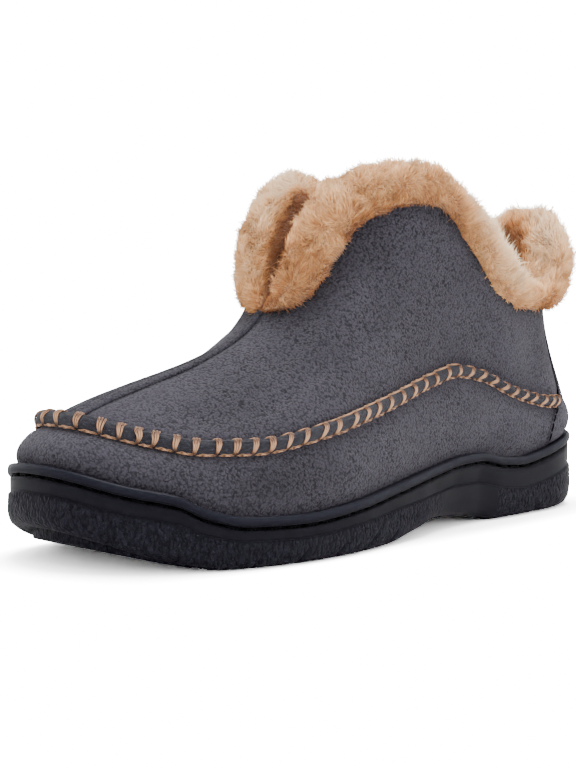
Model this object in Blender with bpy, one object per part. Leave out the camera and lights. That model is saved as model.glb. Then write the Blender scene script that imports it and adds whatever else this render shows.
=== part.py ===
"""Bootie slipper for a left foot: a moccasin-toe upper on a moulded cup sole, with a fleece collar.

The toe points to -Y, the outer (lateral) side is +X, and the floor is z = 0.
The origin is on the flat under the heel. All sizes are in metres.
"""

import math

import bmesh
import bpy
import numpy as np

# Driving sizes of the whole shoe
LENGTH = 0.295
HEEL_BEHIND = 0.045
BALL_WIDTH = 0.108
GAP = 0.0003

# Driving sizes of the cup sole
TOE_SPRING = 0.0135
ARCH_LIFT = 0.0052
ARCH_RECESS = 0.0028
RIM_HEIGHT = 0.0312
SOLE_FLOOR = 0.0105
EDGE_ROUND = 0.0050
RIB = 0.0038
GROOVE = 0.0013
GROOVE_DEPTH = 0.0022
BAND = 0.0095
CUP_WALL = 0.0030
TREAD_DEPTH = 0.0028
TREAD_SLOT = 0.0032

# Driving sizes of the upper and of what is sewn to it
WALL = 0.0024
WALL_BULGE = 0.0024
MOC_HEIGHT = 0.0680
MOC_INSET = 0.0120
ROLL_RADIUS = 0.0034
ROLL_RISE = 0.0050
ROLL_CLEARANCE = 0.0165
THROAT_HEIGHT = 0.0930
FLAP_RISE = 0.0445
SHAFT_HALF_WIDTH = 0.0375
COUNTER_THICKNESS = 0.0012
SEAM_HALF_WIDTH = 0.0042
SEAM_THICKNESS = 0.0009

# Driving sizes of the fleece collar and the insole
FLEECE_RISE = 0.0610
FLEECE_THICKNESS = 0.0095
FLEECE_BULGE = 0.0075
LOCK_DEPTH = 0.0018
INSOLE_THICKNESS = 0.0065
INSOLE_CLEARANCE = 0.0006

# Where the shaft stands, as shares of LENGTH from the heel
THROAT_STATION = 0.640
WIDEST_STATION = 0.356
COLLAR_BACK_STATION = 0.042

# Steps round each side, and points in the dense outline
AROUND = 40
DENSE = 721
CROWDING = 0.45

# Levels of the upper's rings: -1 at its foot, 0 at the rim, 1 at the moccasin seam, 2 at the collar
UPPER_LEVELS = (-1.0, -0.02, 0.30, 0.62, 0.84, 1.0, 1.055, 1.20, 1.38, 1.56, 1.74, 1.88, 2.0)

# Sole outline before its ends are rounded: station, outer and inner breadth as shares of BALL_WIDTH
PLAN = (
    (0.00, 0.345, 0.345),
    (0.12, 0.362, 0.358),
    (0.27, 0.375, 0.345),
    (0.42, 0.410, 0.322),
    (0.55, 0.475, 0.375),
    (0.66, 0.520, 0.440),
    (0.76, 0.530, 0.475),
    (0.88, 0.520, 0.490),
    (1.00, 0.500, 0.490),
)
# Swing of the foot's middle line: station, x as a share of BALL_WIDTH
SWING = ((0.0, 0.0), (0.3, 0.004), (0.6, 0.0), (0.8, -0.02), (1.0, -0.10))
# Rounding of the two ends: length of the round as a share of LENGTH, and its squareness
HEEL_ROUND, HEEL_SQUARE = 0.150, 2.6
TOE_ROUND_OUTER, TOE_ROUND_INNER, TOE_SQUARE = 0.36, 0.25, 2.3

# Underside: station, share of ARCH_LIFT, share of TOE_SPRING, rounding of its edge as a share of EDGE_ROUND
UNDERSIDE = (
    (0.00, 0.00, 0.00, 1.00),
    (0.27, 0.00, 0.00, 1.00),
    (0.35, 0.72, 0.00, 1.00),
    (0.43, 1.00, 0.00, 1.00),
    (0.50, 0.50, 0.00, 1.00),
    (0.57, 0.00, 0.00, 1.00),
    (0.845, 0.00, 0.00, 1.00),
    (0.88, 0.00, 0.12, 1.10),
    (0.92, 0.00, 0.34, 1.30),
    (0.96, 0.00, 0.63, 1.70),
    (1.00, 0.00, 0.97, 2.20),
)
# Top edge of the sole: station, share of RIM_HEIGHT, share of BAND below the rib, share of ARCH_RECESS
RIM = (
    (0.00, 1.12, 1.00, 0.00),
    (0.065, 1.08, 1.00, 0.00),
    (0.10, 1.02, 1.00, 0.00),
    (0.14, 0.945, 1.00, 0.00),
    (0.17, 0.900, 0.97, 0.00),
    (0.205, 0.862, 0.94, 0.00),
    (0.26, 0.90, 0.90, 0.15),
    (0.32, 1.00, 0.85, 1.00),
    (0.37, 0.99, 0.80, 1.00),
    (0.43, 0.92, 0.70, 0.55),
    (0.48, 0.86, 0.60, 0.00),
    (0.54, 0.79, 0.50, 0.00),
    (0.64, 0.675, 0.42, 0.00),
    (0.74, 0.605, 0.38, 0.00),
    (0.82, 0.625, 0.38, 0.00),
    (0.87, 0.745, 0.45, 0.00),
    (0.90, 0.90, 0.50, 0.00),
    (0.95, 1.03, 0.53, 0.00),
    (1.00, 1.23, 0.55, 0.00),
)
# Side of the sole below the band: share of the height there, inset as a share of EDGE_ROUND
LOWER_SIDE = ((0.0, 1.00), (0.07, 0.52), (0.24, 0.14), (0.55, 0.00), (0.96, 0.06), (1.0, 0.22))
# Moccasin seam: station, share of MOC_HEIGHT, inset from the sole as a share of MOC_INSET
MOC = (
    (0.00, 0.725, 0.36),
    (0.12, 0.735, 0.42),
    (0.18, 0.779, 0.45),
    (0.235, 0.844, 0.46),
    (0.30, 0.943, 0.47),
    (0.37, 0.988, 0.52),
    (0.43, 0.941, 0.56),
    (0.52, 0.852, 0.60),
    (0.61, 0.768, 0.72),
    (0.70, 0.697, 0.82),
    (0.80, 0.640, 0.98),
    (0.87, 0.643, 1.08),
    (0.93, 0.690, 1.18),
    (1.00, 0.782, 1.20),
)
# Moccasin roll: share round the seam from the toe, its size as a share of ROLL_RADIUS and ROLL_RISE
ROLL = ((0.00, 0.88), (0.26, 0.88), (0.45, 0.82), (0.60, 0.72), (0.72, 0.64), (0.84, 0.68), (1.00, 0.68))
# Quarter panels: share round the seam from the toe, lean of the panel at the seam in degrees,
# pull of the curve at the seam and at the collar as shares of the distance between them
PANEL = (
    (0.00, 30.0, 0.92, 1.00),
    (0.10, 37.0, 0.80, 0.86),
    (0.22, 50.0, 0.72, 0.72),
    (0.34, 62.0, 0.70, 0.66),
    (0.46, 74.0, 0.75, 0.70),
    (0.58, 86.0, 0.85, 0.80),
    (0.72, 92.0, 0.95, 0.90),
    (0.86, 76.0, 1.00, 0.95),
    (1.00, 70.0, 1.00, 1.00),
)
# Suede's top edge: share round the shaft from the front, share of FLAP_RISE above the throat
COLLAR = (
    (0.000, 0.000),
    (0.085, 0.040),
    (0.120, 0.125),
    (0.140, 0.240),
    (0.154, 0.400),
    (0.170, 0.570),
    (0.190, 0.715),
    (0.215, 0.815),
    (0.260, 0.890),
    (0.305, 0.970),
    (0.350, 1.000),
    (0.400, 0.992),
    (0.440, 0.940),
    (0.467, 0.865),
    (0.492, 0.750),
    (0.521, 0.500),
    (0.547, 0.285),
    (0.577, 0.140),
    (0.640, 0.020),
    (0.750, 0.020),
    (1.000, 0.090),
)
# Front line of the shaft: height above the throat as a share of FLEECE_RISE, y behind the throat as a share of LENGTH
FRONT_LINE = ((-0.3, -0.060), (0.0, 0.0), (0.11, 0.020), (0.31, 0.045), (0.54, 0.068), (0.77, 0.091), (1.0, 0.108))
# Fleece: share round the shaft, top as a share of FLEECE_RISE above the throat,
# bulge over the suede as a share of FLEECE_BULGE, thickness as a share of FLEECE_THICKNESS
FLEECE = (
    (0.000, 0.74, -0.30, 0.90),
    (0.030, 0.78, 0.75, 1.00),
    (0.070, 0.845, 1.40, 1.20),
    (0.130, 0.91, 1.52, 1.30),
    (0.200, 0.97, 1.15, 1.20),
    (0.280, 1.00, 0.75, 1.10),
    (0.360, 1.00, 0.60, 1.10),
    (0.430, 0.93, 0.60, 1.10),
    (0.495, 0.80, 0.65, 1.05),
    (0.536, 0.62, 0.65, 1.00),
    (0.590, 0.36, 0.65, 0.95),
    (0.650, 0.19, 0.70, 0.90),
    (0.710, 0.18, 0.80, 0.95),
    (0.760, 0.34, 1.00, 1.05),
    (0.800, 0.56, 1.20, 1.15),
    (0.840, 0.69, 1.33, 1.20),
    (0.900, 0.745, 1.34, 1.25),
    (1.000, 0.75, 1.35, 1.25),
)
# What the inner side's fleece differs by: share round the shaft, added to its top, added to its bulge,
# times its thickness
FLEECE_INNER_SIDE = (
    (0.000, 0.000, 0.00, 1.00),
    (0.050, 0.010, 0.13, 0.90),
    (0.130, 0.020, 0.45, 0.80),
    (0.210, -0.025, 0.50, 0.80),
    (0.300, -0.045, 0.38, 0.90),
    (0.380, -0.065, 0.13, 1.00),
    (0.470, -0.066, 0.00, 1.00),
    (0.600, -0.016, 0.00, 1.00),
    (0.700, 0.000, 0.00, 1.00),
    (0.770, -0.033, 0.00, 1.00),
    (0.840, -0.131, 0.00, 1.00),
    (0.893, -0.131, 0.00, 1.00),
    (0.950, -0.050, 0.00, 1.00),
    (1.000, 0.000, 0.00, 1.00),
)
# Levels of the upper between which the fleece is tucked inside it
FLEECE_TUCK = (1.72, 1.86, 1.98)
# Section of the fleece above the suede: share of its height there, share of the bulge, for the outer face
FLEECE_OUTER = ((0.0, 0.35), (0.16, 0.80), (0.42, 1.0), (0.70, 0.90), (0.90, 0.50))
# The same for its inner face: share of the height, share of the thickness
FLEECE_INNER = ((1.0, 0.25), (0.90, 0.80), (0.50, 1.0), (0.05, 1.0))
# Heel counter: level of the upper, share of the half turn that it covers there
COUNTER = ((0.0, 0.176), (0.30, 0.177), (0.62, 0.166), (0.84, 0.144), (1.0, 0.124), (1.2, 0.104), (2.0, 0.078))
# Vamp's middle seam: level of the upper, its half width there as a share of SEAM_HALF_WIDTH
VAMP_SEAM = ((1.10, 1.25), (1.38, 1.15), (1.56, 0.90), (1.74, 0.65), (1.97, 0.45))
# Tread slots: station of each on the middle line, and its slant in degrees
TREAD = (
    (0.115, 8.0),
    (0.190, -8.0),
    (0.550, 10.0),
    (0.645, -6.0),
    (0.745, 6.0),
    (0.845, -10.0),
)


def clear_scene():
    for obj in list(bpy.data.objects):
        bpy.data.objects.remove(obj, do_unlink=True)


def read(table, column, at):
    """A smooth curve through one column of a table that never overshoots its rows."""
    rows = np.array(table, float)
    x, y = rows[:, 0], rows[:, column]
    step = np.diff(x)
    rise = np.diff(y) / step
    both = rise[:-1] * rise[1:]
    slope = np.zeros(len(x))
    inner = np.where(both > 0, both, 0.0) * 2 / np.where(both > 0, rise[:-1] + rise[1:], 1.0)
    slope[1:-1] = inner
    slope[0], slope[-1] = rise[0], rise[-1]
    at = np.clip(at, x[0], x[-1])
    i = np.clip(np.searchsorted(x, at, side="right") - 1, 0, len(x) - 2)
    t = (at - x[i]) / step[i]
    a = (1 + 2 * t) * (1 - t) ** 2 * y[i] + t * (1 - t) ** 2 * step[i] * slope[i]
    b = t * t * (3 - 2 * t) * y[i + 1] - t * t * (1 - t) * step[i] * slope[i + 1]
    return a + b


def end_round(station, length, square):
    """1 along the side, falling to 0 at the end of the outline as a superellipse."""
    into = np.clip((length - station) / length, 0, 1)
    return (1 - into**square) ** (1 / square)


def half_outline(side):
    """One side of the sole's outline, from toe to heel: share of its length, x, y, outward normal, station."""
    turn = np.linspace(0, math.pi, DENSE)
    station = (1 + np.cos(turn)) / 2
    toe_round = TOE_ROUND_OUTER if side > 0 else TOE_ROUND_INNER
    ends = end_round(station, HEEL_ROUND, HEEL_SQUARE) * end_round(1 - station, toe_round, TOE_SQUARE)
    breadth = read(PLAN, 1 if side > 0 else 2, station) * BALL_WIDTH * ends
    x = read(SWING, 1, station) * BALL_WIDTH + side * breadth
    y = HEEL_BEHIND - station * LENGTH
    dx, dy = np.gradient(x), np.gradient(y)
    dx[0], dy[0], dx[-1], dy[-1] = side, 0, -side, 0
    size = np.hypot(dx, dy)
    run = np.concatenate([[0], np.cumsum(np.hypot(np.diff(x), np.diff(y)))])
    return run / run[-1], x, y, side * dy / size, -side * dx / size, station


HALVES = {side: half_outline(side) for side in (1, -1)}


def side_and_share(turn):
    """Turn runs 0 at the toe, 1 at the heel and 2 at the toe again, down the outer side and back up the inner."""
    turn = np.mod(turn, 2.0)
    return np.where(turn < 1, 1, -1), np.where(turn < 1, turn, 2 - turn)


def on_outline(turn):
    """x, y, outward normal and station of the sole's outline at each turn."""
    side, share = side_and_share(np.asarray(turn, float))
    found = []
    for k in range(1, 6):
        outer = np.interp(share, HALVES[1][0], HALVES[1][k])
        inner = np.interp(share, HALVES[-1][0], HALVES[-1][k])
        found.append(np.where(side > 0, outer, inner))
    return found


def ring(turn, inset, height):
    """Points inset from the outline. inset and height are functions of the station."""
    x, y, nx, ny, station = on_outline(turn)
    d = inset(station)
    return np.stack([x - nx * d, y - ny * d, height(station)], axis=-1)


def underside(station):
    return read(UNDERSIDE, 1, station) * ARCH_LIFT + read(UNDERSIDE, 2, station) * TOE_SPRING


def cup_floor(station):
    return underside(station) * 0.8 + SOLE_FLOOR


def rim(station):
    return read(RIM, 1, station) * RIM_HEIGHT


RIM_INSET = EDGE_ROUND * 0.22 + CUP_WALL
UPPER_INSET = RIM_INSET + GAP


def moc_height(station):
    return read(MOC, 1, station) * MOC_HEIGHT


def moc_inset(station):
    return read(MOC, 2, station) * MOC_INSET


def wall_point(turn, up):
    """Wall of the upper between the rim (up = 0) and the moccasin seam (up = 1). Below 0 it runs down into the cup."""
    rise = np.clip(up, 0, 1)

    def inset(station):
        bulge = WALL_BULGE * np.sin(math.pi * rise)
        return UPPER_INSET + (moc_inset(station) - UPPER_INSET) * rise**1.8 - bulge

    def height(station):
        base = rim(station)
        foot = cup_floor(station) + GAP
        return np.where(up < 0, base + up * (base - foot), base + rise * (moc_height(station) - base))

    return ring(turn, inset, height)


def shaft(around, height):
    """The ankle shaft at a height: an oval whose front leans back. around is 0 at the front, 1 at the back, 2 in front."""
    side, share = side_and_share(around)
    lean = read(FRONT_LINE, 1, (height - THROAT_HEIGHT) / FLEECE_RISE) * LENGTH
    front = HEEL_BEHIND - THROAT_STATION * LENGTH + lean
    widest = HEEL_BEHIND - WIDEST_STATION * LENGTH
    back = HEEL_BEHIND - COLLAR_BACK_STATION * LENGTH
    angle = share * math.pi
    sine, cosine = np.sin(angle), np.cos(angle)
    rear = cosine < 0
    power = np.where(rear, 0.8, 1.0)
    reach = np.where(rear, widest - back, widest - front)
    x = side * SHAFT_HALF_WIDTH * np.clip(sine, 0, 1) ** power
    y = widest - np.sign(cosine) * reach * np.abs(cosine) ** power * np.where(rear, -1, 1)
    return np.stack([x, y, height + 0 * x], axis=-1)


def around_shaft(turn):
    """The place on the collar that a place on the moccasin seam runs up to."""
    side, share = side_and_share(turn)
    share = share - 0.17 * np.sin(math.pi * share)
    return np.where(side > 0, share, 2 - share)


def suede_top(around):
    side, share = side_and_share(around)
    return THROAT_HEIGHT + read(COLLAR, 1, share) * FLAP_RISE


def collar_edge(turn):
    around = around_shaft(turn)
    return shaft(around, suede_top(around))


def panel_point(turn, up):
    """Quarter panels between the moccasin seam (up = 0) and the collar's edge (up = 1), as Hermite curves."""
    side, share = side_and_share(turn)
    low = wall_point(turn, 1.0)
    top = collar_edge(turn)
    step = 1e-3
    along = wall_point(turn + step, 1.0) - wall_point(turn - step, 1.0)
    along /= np.linalg.norm(along, axis=-1, keepdims=True)
    nx, ny = on_outline(turn)[2:4]
    lean = np.radians(read(PANEL, 1, share))
    inward = np.stack([-nx * np.cos(lean), -ny * np.cos(lean), np.sin(lean)], axis=-1)
    span = top - low
    distance = np.linalg.norm(span, axis=-1, keepdims=True)
    across = np.sum(span * along, axis=-1, keepdims=True)
    pull_low = read(PANEL, 2, share)[..., None] * np.sqrt(np.clip(distance**2 - across**2, 0, None))
    start = inward * pull_low + along * across
    around = around_shaft(turn)
    rise = shaft(around, suede_top(around) + step) - shaft(around, suede_top(around) - step)
    rise /= np.linalg.norm(rise, axis=-1, keepdims=True)
    end = rise * distance * read(PANEL, 3, share)[..., None]
    t = np.asarray(up, float)[..., None]
    return (
        low * (1 + 2 * t) * (1 - t) ** 2
        + start * t * (1 - t) ** 2
        + top * t * t * (3 - 2 * t)
        - end * t * t * (1 - t)
    )


def upper_point(turn, level):
    """Outer face of the upper. level is -1 at its foot, 0 at the rim, 1 at the moccasin seam, 2 at the collar."""
    turn = np.asarray(turn, float)
    level = np.asarray(level, float) + 0 * turn
    low = wall_point(turn, np.minimum(level, 1.0))
    high = panel_point(turn, np.clip(level - 1, 0, 1))
    return np.where((level > 1)[..., None], high, low)


def upper_normal(turn, level):
    """Outward normal of the upper's outer face."""
    step = 2e-3
    turn = np.asarray(turn, float)
    level = np.clip(np.asarray(level, float) + 0 * turn, -1, 2)
    across = upper_point(turn + step, level) - upper_point(turn - step, level)
    up = upper_point(turn, np.minimum(level + step, 2)) - upper_point(turn, np.maximum(level - step, -1))
    normal = np.cross(across, up)
    return normal / np.linalg.norm(normal, axis=-1, keepdims=True)


def material(name, colour, roughness):
    made = bpy.data.materials.new(name)
    made.use_nodes = True
    shader = made.node_tree.nodes["Principled BSDF"]
    shader.inputs["Base Color"].default_value = (*colour, 1.0)
    shader.inputs["Roughness"].default_value = roughness
    shader.inputs["Metallic"].default_value = 0.0
    return made


def add_object(name, points, faces, surface, sharp=35.0):
    """One closed mesh object, with its faces pointing out."""
    mesh = bpy.data.meshes.new(name)
    mesh.from_pydata([tuple(map(float, p)) for p in points], [], faces)
    built = bmesh.new()
    built.from_mesh(mesh)
    bmesh.ops.remove_doubles(built, verts=built.verts, dist=1e-6)
    bmesh.ops.recalc_face_normals(built, faces=built.faces)
    built.to_mesh(mesh)
    built.free()
    mesh.shade_smooth()
    mesh.set_sharp_from_angle(angle=math.radians(sharp))
    mesh.materials.append(surface)
    obj = bpy.data.objects.new(name, mesh)
    bpy.context.scene.collection.objects.link(obj)
    return obj


def joined_rings(rings, closed):
    """Points and side faces of rings of equal length. closed joins the last ring to the first."""
    count = len(rings[0])
    faces = []
    for k in range(len(rings) if closed else len(rings) - 1):
        a, b = k * count, (k + 1) % len(rings) * count
        for i in range(count):
            j = (i + 1) % count
            faces.append((a + i, a + j, b + j, b + i))
    return np.concatenate(rings), faces


def lid(start, count):
    """Faces that close a ring by joining its outer side to its inner side."""
    return [
        tuple(dict.fromkeys((start + i, start + i + 1, start + (count - i - 1) % count, start + (count - i) % count)))
        for i in range(count // 2)
    ]


def around_all():
    """Turns of the columns, closer together at the toe and at the heel."""
    even = np.arange(2 * AROUND) / AROUND
    return even - CROWDING * np.sin(2 * math.pi * even) / (2 * math.pi)


def sole_side_rings(turn):
    """Rings up the side of the sole: rounded edge, textured side, smooth band, groove and rib."""
    x, y, nx, ny, station = on_outline(turn)
    top = rim(station)
    bottom = underside(station)
    band_top = top - RIB - GROOVE
    band_foot = band_top - read(RIM, 2, station) * BAND
    recess = read(RIM, 3, station) * ARCH_RECESS
    step = 0.22 * EDGE_ROUND
    rows = []
    for share, inset in LOWER_SIDE:
        edge = inset * EDGE_ROUND * (1 + (read(UNDERSIDE, 3, station) - 1) * (1 - share))
        rows.append((bottom + share * (band_foot - bottom), edge + recess))
    rows += [
        (band_top, step + recess * 0.35),
        (band_top + 0.1 * GROOVE, step + GROOVE_DEPTH),
        (band_top + GROOVE, step + GROOVE_DEPTH),
        (band_top + GROOVE + 0.12 * RIB, 0.45 * step),
        (top - 0.35 * RIB, 0.20 * step),
        (top, step + 0.25 * CUP_WALL),
    ]
    return [np.stack([x - nx * d, y - ny * d, z + 0 * x], axis=-1) for z, d in rows]


def build_outsole(rubber):
    turn = around_all()
    rings = sole_side_rings(turn)
    rings.append(ring(turn, lambda s: RIM_INSET + 0 * s, rim))
    rings.append(ring(turn, lambda s: RIM_INSET + 0 * s, cup_floor))
    points, faces = joined_rings(rings, closed=False)
    count = len(turn)
    faces += lid(0, count) + lid((len(rings) - 1) * count, count)
    sole = add_object("outsole", points, faces, rubber)
    for k, (station, slant) in enumerate(TREAD):
        cutter = tread_slot(f"tread_slot_{k}", station, slant)
        cut = sole.modifiers.new(cutter.name, "BOOLEAN")
        cut.object = cutter
        cut.operation = "DIFFERENCE"
        cut.solver = "EXACT"
    return sole


def tread_slot(name, station, slant):
    """A cutter for one slot across the tread, open at both sides of the sole."""
    x, y = read(SWING, 1, station) * BALL_WIDTH, HEEL_BEHIND - station * LENGTH
    angle = math.radians(slant)
    along = np.array([math.cos(angle), math.sin(angle), 0.0])
    across = np.array([-math.sin(angle), math.cos(angle), 0.0])
    up = np.array([0.0, 0.0, 1.0])
    corners = []
    for half, z in ((1.0, -BALL_WIDTH * 0.05), (1.0, 0.0), (0.55, TREAD_DEPTH)):
        for a, b in ((-1, -1), (1, -1), (1, 1), (-1, 1)):
            corners.append(
                np.array([x, y, 0.0]) + along * a * BALL_WIDTH * 0.7 + across * b * TREAD_SLOT / 2 * half + up * z
            )
    faces = [(3, 2, 1, 0), (8, 9, 10, 11)]
    for base in (0, 4):
        for i in range(4):
            j = (i + 1) % 4
            faces.append((base + i, base + j, base + 4 + j, base + 4 + i))
    cutter = add_object(name, corners, faces, bpy.data.materials["rubber"])
    cutter.hide_render = True
    cutter.display_type = "WIRE"
    return cutter


def on_facets(turn, level):
    """Points and normals on the upper's flat facets, so that a panel sewn to it lies as close everywhere."""
    turns = np.append(around_all(), 2.0)
    turn = np.mod(turn, 2.0)
    i = np.clip(np.searchsorted(turns, turn, side="right") - 1, 0, 2 * AROUND - 1)
    j = np.clip(np.searchsorted(UPPER_LEVELS, level, side="right") - 1, 0, len(UPPER_LEVELS) - 2)
    levels = np.array(UPPER_LEVELS)
    u = ((turn - turns[i]) / (turns[i + 1] - turns[i]))[..., None]
    v = ((level - levels[j]) / (levels[j + 1] - levels[j]))[..., None]
    found = []
    for surface in (upper_point, upper_normal):
        a, b = surface(turns[i], levels[j]), surface(turns[i + 1], levels[j])
        c, d = surface(turns[i], levels[j + 1]), surface(turns[i + 1], levels[j + 1])
        found.append((a * (1 - u) + b * u) * (1 - v) + (c * (1 - u) + d * u) * v)
    return found


def build_upper(suede):
    turn = around_all()
    outer, inner = [], []
    for level in UPPER_LEVELS:
        points, normal = upper_point(turn, level), upper_normal(turn, level)
        outer.append(points)
        inner.append(points - normal * WALL)
    floor = cup_floor(on_outline(turn)[4]) + GAP
    inner[0][:, 2] = floor
    points, faces = joined_rings(outer + inner[::-1], closed=True)
    return add_object("upper", points, faces, suede)


def build_roll(suede_dark):
    """The rolled seam that lies along the edge between wall and vamp, from counter to counter round the toe."""
    end = 1 - read(COUNTER, 1, 1.0) - ROLL_CLEARANCE
    columns = around_all()
    columns = np.concatenate([columns[AROUND + 1 :] - 2, columns[:AROUND]])
    turn = np.unique(np.clip(columns, -end, end))
    size = read(ROLL, 1, np.abs(turn))
    seam = upper_point(turn, 1.0)
    below = np.linalg.norm(seam - upper_point(turn, 0.9), axis=-1) / 0.1
    above = np.linalg.norm(seam - upper_point(turn, 1.1), axis=-1) / 0.1
    back = []
    for share in (-0.95, -0.5, 0.0, 0.5, 0.95):
        level = 1 + share * ROLL_RADIUS * size / np.where(share < 0, below, above)
        points, normal = on_facets(turn, level)
        back.append(points + normal * GAP)
    outward = np.cross(np.gradient(seam, axis=0), back[-1] - back[0])
    outward /= np.linalg.norm(outward, axis=-1, keepdims=True)
    middle = (back[0] + back[-1]) / 2
    half = (back[-1] - back[0]) / 2
    rise = outward * ROLL_RISE * size[:, None]
    arc = []
    for angle in np.radians((18, 54, 90, 126, 162)):
        arc.append(middle + half * 1.12 * math.cos(angle) + rise * math.sin(angle))
    rings = back + arc
    count = len(turn)
    points, faces = np.concatenate(rings), []
    for k in range(len(rings)):
        a, b = k * count, (k + 1) % len(rings) * count
        faces += [(a + i, a + i + 1, b + i + 1, b + i) for i in range(count - 1)]
    faces += [tuple(k * count for k in range(len(rings))), tuple(k * count + count - 1 for k in range(len(rings)))]
    return add_object("moccasin_roll", points, faces, suede_dark, sharp=50.0)


def slab(name, turn, level, gap, thickness, surface):
    """A sewn-on panel: a grid of the upper's own surface, lifted by a gap, with its own thickness."""
    points, normal = on_facets(turn, level)
    rows, columns = turn.shape
    low = (points + normal * gap).reshape(-1, 3)
    high = (points + normal * (gap + thickness[..., None])).reshape(-1, 3)
    faces = []
    total = rows * columns
    for i in range(rows - 1):
        for j in range(columns - 1):
            a = i * columns + j
            quad = (a, a + 1, a + columns + 1, a + columns)
            faces += [quad[::-1], tuple(total + v for v in quad)]
    edge = [j for j in range(columns)]
    edge += [i * columns + columns - 1 for i in range(1, rows)]
    edge += [(rows - 1) * columns + j for j in range(columns - 2, -1, -1)]
    edge += [i * columns for i in range(rows - 2, 0, -1)]
    for a, b in zip(edge, edge[1:] + edge[:1]):
        faces.append((a, b, total + b, total + a))
    return add_object(name, np.concatenate([low, high]), faces, surface)


def build_counter(suede):
    level = np.array((0.06,) + UPPER_LEVELS[2:-1] + (1.985,))
    width = read(COUNTER, 1, level)
    columns = around_all()
    columns = columns[np.abs(columns - 1) < width.max() + 0.01]
    turn = np.clip(columns[None, :], 1 - width[:, None], 1 + width[:, None])
    thickness = np.full(turn.shape, COUNTER_THICKNESS)
    return slab("heel_counter", turn, level[:, None] + 0 * turn, GAP, thickness, suede)


def build_vamp_seam(suede):
    """The raised seam along the middle of the vamp, from the moccasin seam to the throat."""
    level = np.array((1.10,) + UPPER_LEVELS[7:-1] + (1.97,))
    half_turn = []
    for at in level:
        near = upper_point(np.array([-0.01, 0.01]), at)
        half_width = SEAM_HALF_WIDTH * read(VAMP_SEAM, 1, at)
        half_turn.append(half_width * 0.02 / np.linalg.norm(near[1] - near[0]))
    across = np.array([-1.0, -0.5, 0.0, 0.5, 1.0])
    turn = np.array(half_turn)[:, None] * across[None, :]
    thickness = SEAM_THICKNESS * (0.35 + 0.65 * (1 - across**2))[None, :] + 0 * turn
    return slab("vamp_seam", turn, level[:, None] + 0 * turn, GAP, thickness, suede)


def build_insole(lining):
    turn = around_all()
    edge = UPPER_INSET + WALL + INSOLE_CLEARANCE
    rows = (
        (edge + 0.0012, 0.0),
        (edge, 0.25),
        (edge, 0.70),
        (edge + 0.0018, 1.0),
        (edge + 0.0100, 0.93),
    )
    rings = []
    for inset, share in rows:
        rings.append(
            ring(turn, lambda s: inset + 0 * s, lambda s: cup_floor(s) + GAP + share * INSOLE_THICKNESS)
        )
    points, faces = joined_rings(rings, closed=False)
    count = len(turn)
    faces += lid(0, count) + lid((len(rings) - 1) * count, count)
    return add_object("insole", points, faces, lining)


def fleece_offset(around, height, offset):
    """A point that lies offset outward from the shaft's face at a height."""
    step = 1e-3
    at = shaft(around, height)
    along = shaft(around + step, height) - shaft(around - step, height)
    size = np.hypot(along[..., 0], along[..., 1])
    normal = np.stack([along[..., 1] / size, -along[..., 0] / size, 0 * size], axis=-1)
    return at + normal * np.asarray(offset)[..., None]


def build_fleece(fleece):
    """The fleece collar: tucked inside the suede, bulging over its edge, with locks on its outer face."""
    turn = around_all()
    around = around_shaft(turn)
    side, share = side_and_share(around)
    inner = side < 0
    edge = suede_top(around)
    top = read(FLEECE, 1, share) + np.where(inner, read(FLEECE_INNER_SIDE, 1, share), 0.0)
    top = THROAT_HEIGHT + top * FLEECE_RISE
    bulge = read(FLEECE, 2, share) + np.where(inner, read(FLEECE_INNER_SIDE, 2, share), 0.0)
    bulge = bulge * FLEECE_BULGE
    thick = read(FLEECE, 3, share) * np.where(inner, read(FLEECE_INNER_SIDE, 3, share), 1.0)
    thick = thick * FLEECE_THICKNESS
    lift = 2 * GAP
    rise = top - edge - lift
    rings = []
    for level in FLEECE_TUCK:
        points, normal = upper_point(turn, level), upper_normal(turn, level)
        rings.append(points - normal * (WALL + 2 * GAP))
    rings.append(fleece_offset(around, edge + lift, -WALL - 2 * GAP + 0 * share))
    for k, (up, out) in enumerate(FLEECE_OUTER):
        locks = LOCK_DEPTH * np.sin(share * 61 + 2.1 * k) * np.sin(share * 23 + 1.3 * k) * np.sin(math.pi * up)
        rings.append(fleece_offset(around, edge + lift + up * rise, out * bulge + locks))
    for up, into in FLEECE_INNER:
        rings.append(fleece_offset(around, edge + lift + up * rise, bulge * 0.25 - into * thick))
    points, normal = upper_point(turn, FLEECE_TUCK[0]), upper_normal(turn, FLEECE_TUCK[0])
    rings.append(points - normal * (WALL + 2 * GAP + 0.5 * thick[:, None]))
    points, faces = joined_rings(rings, closed=True)
    return add_object("collar_fleece", points, faces, fleece)


def main():
    clear_scene()
    rubber = material("rubber", (0.012, 0.013, 0.017), 0.55)
    suede = material("suede", (0.105, 0.107, 0.122), 0.95)
    suede_dark = material("suede_dark", (0.055, 0.058, 0.068), 0.95)
    fleece = material("fleece", (0.62, 0.40, 0.21), 1.0)
    lining = material("lining", (0.58, 0.39, 0.22), 1.0)
    build_outsole(rubber)
    build_upper(suede)
    build_roll(suede_dark)
    build_counter(suede)
    build_vamp_seam(suede)
    build_insole(lining)
    build_fleece(fleece)


main()
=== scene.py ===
import math

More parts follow.
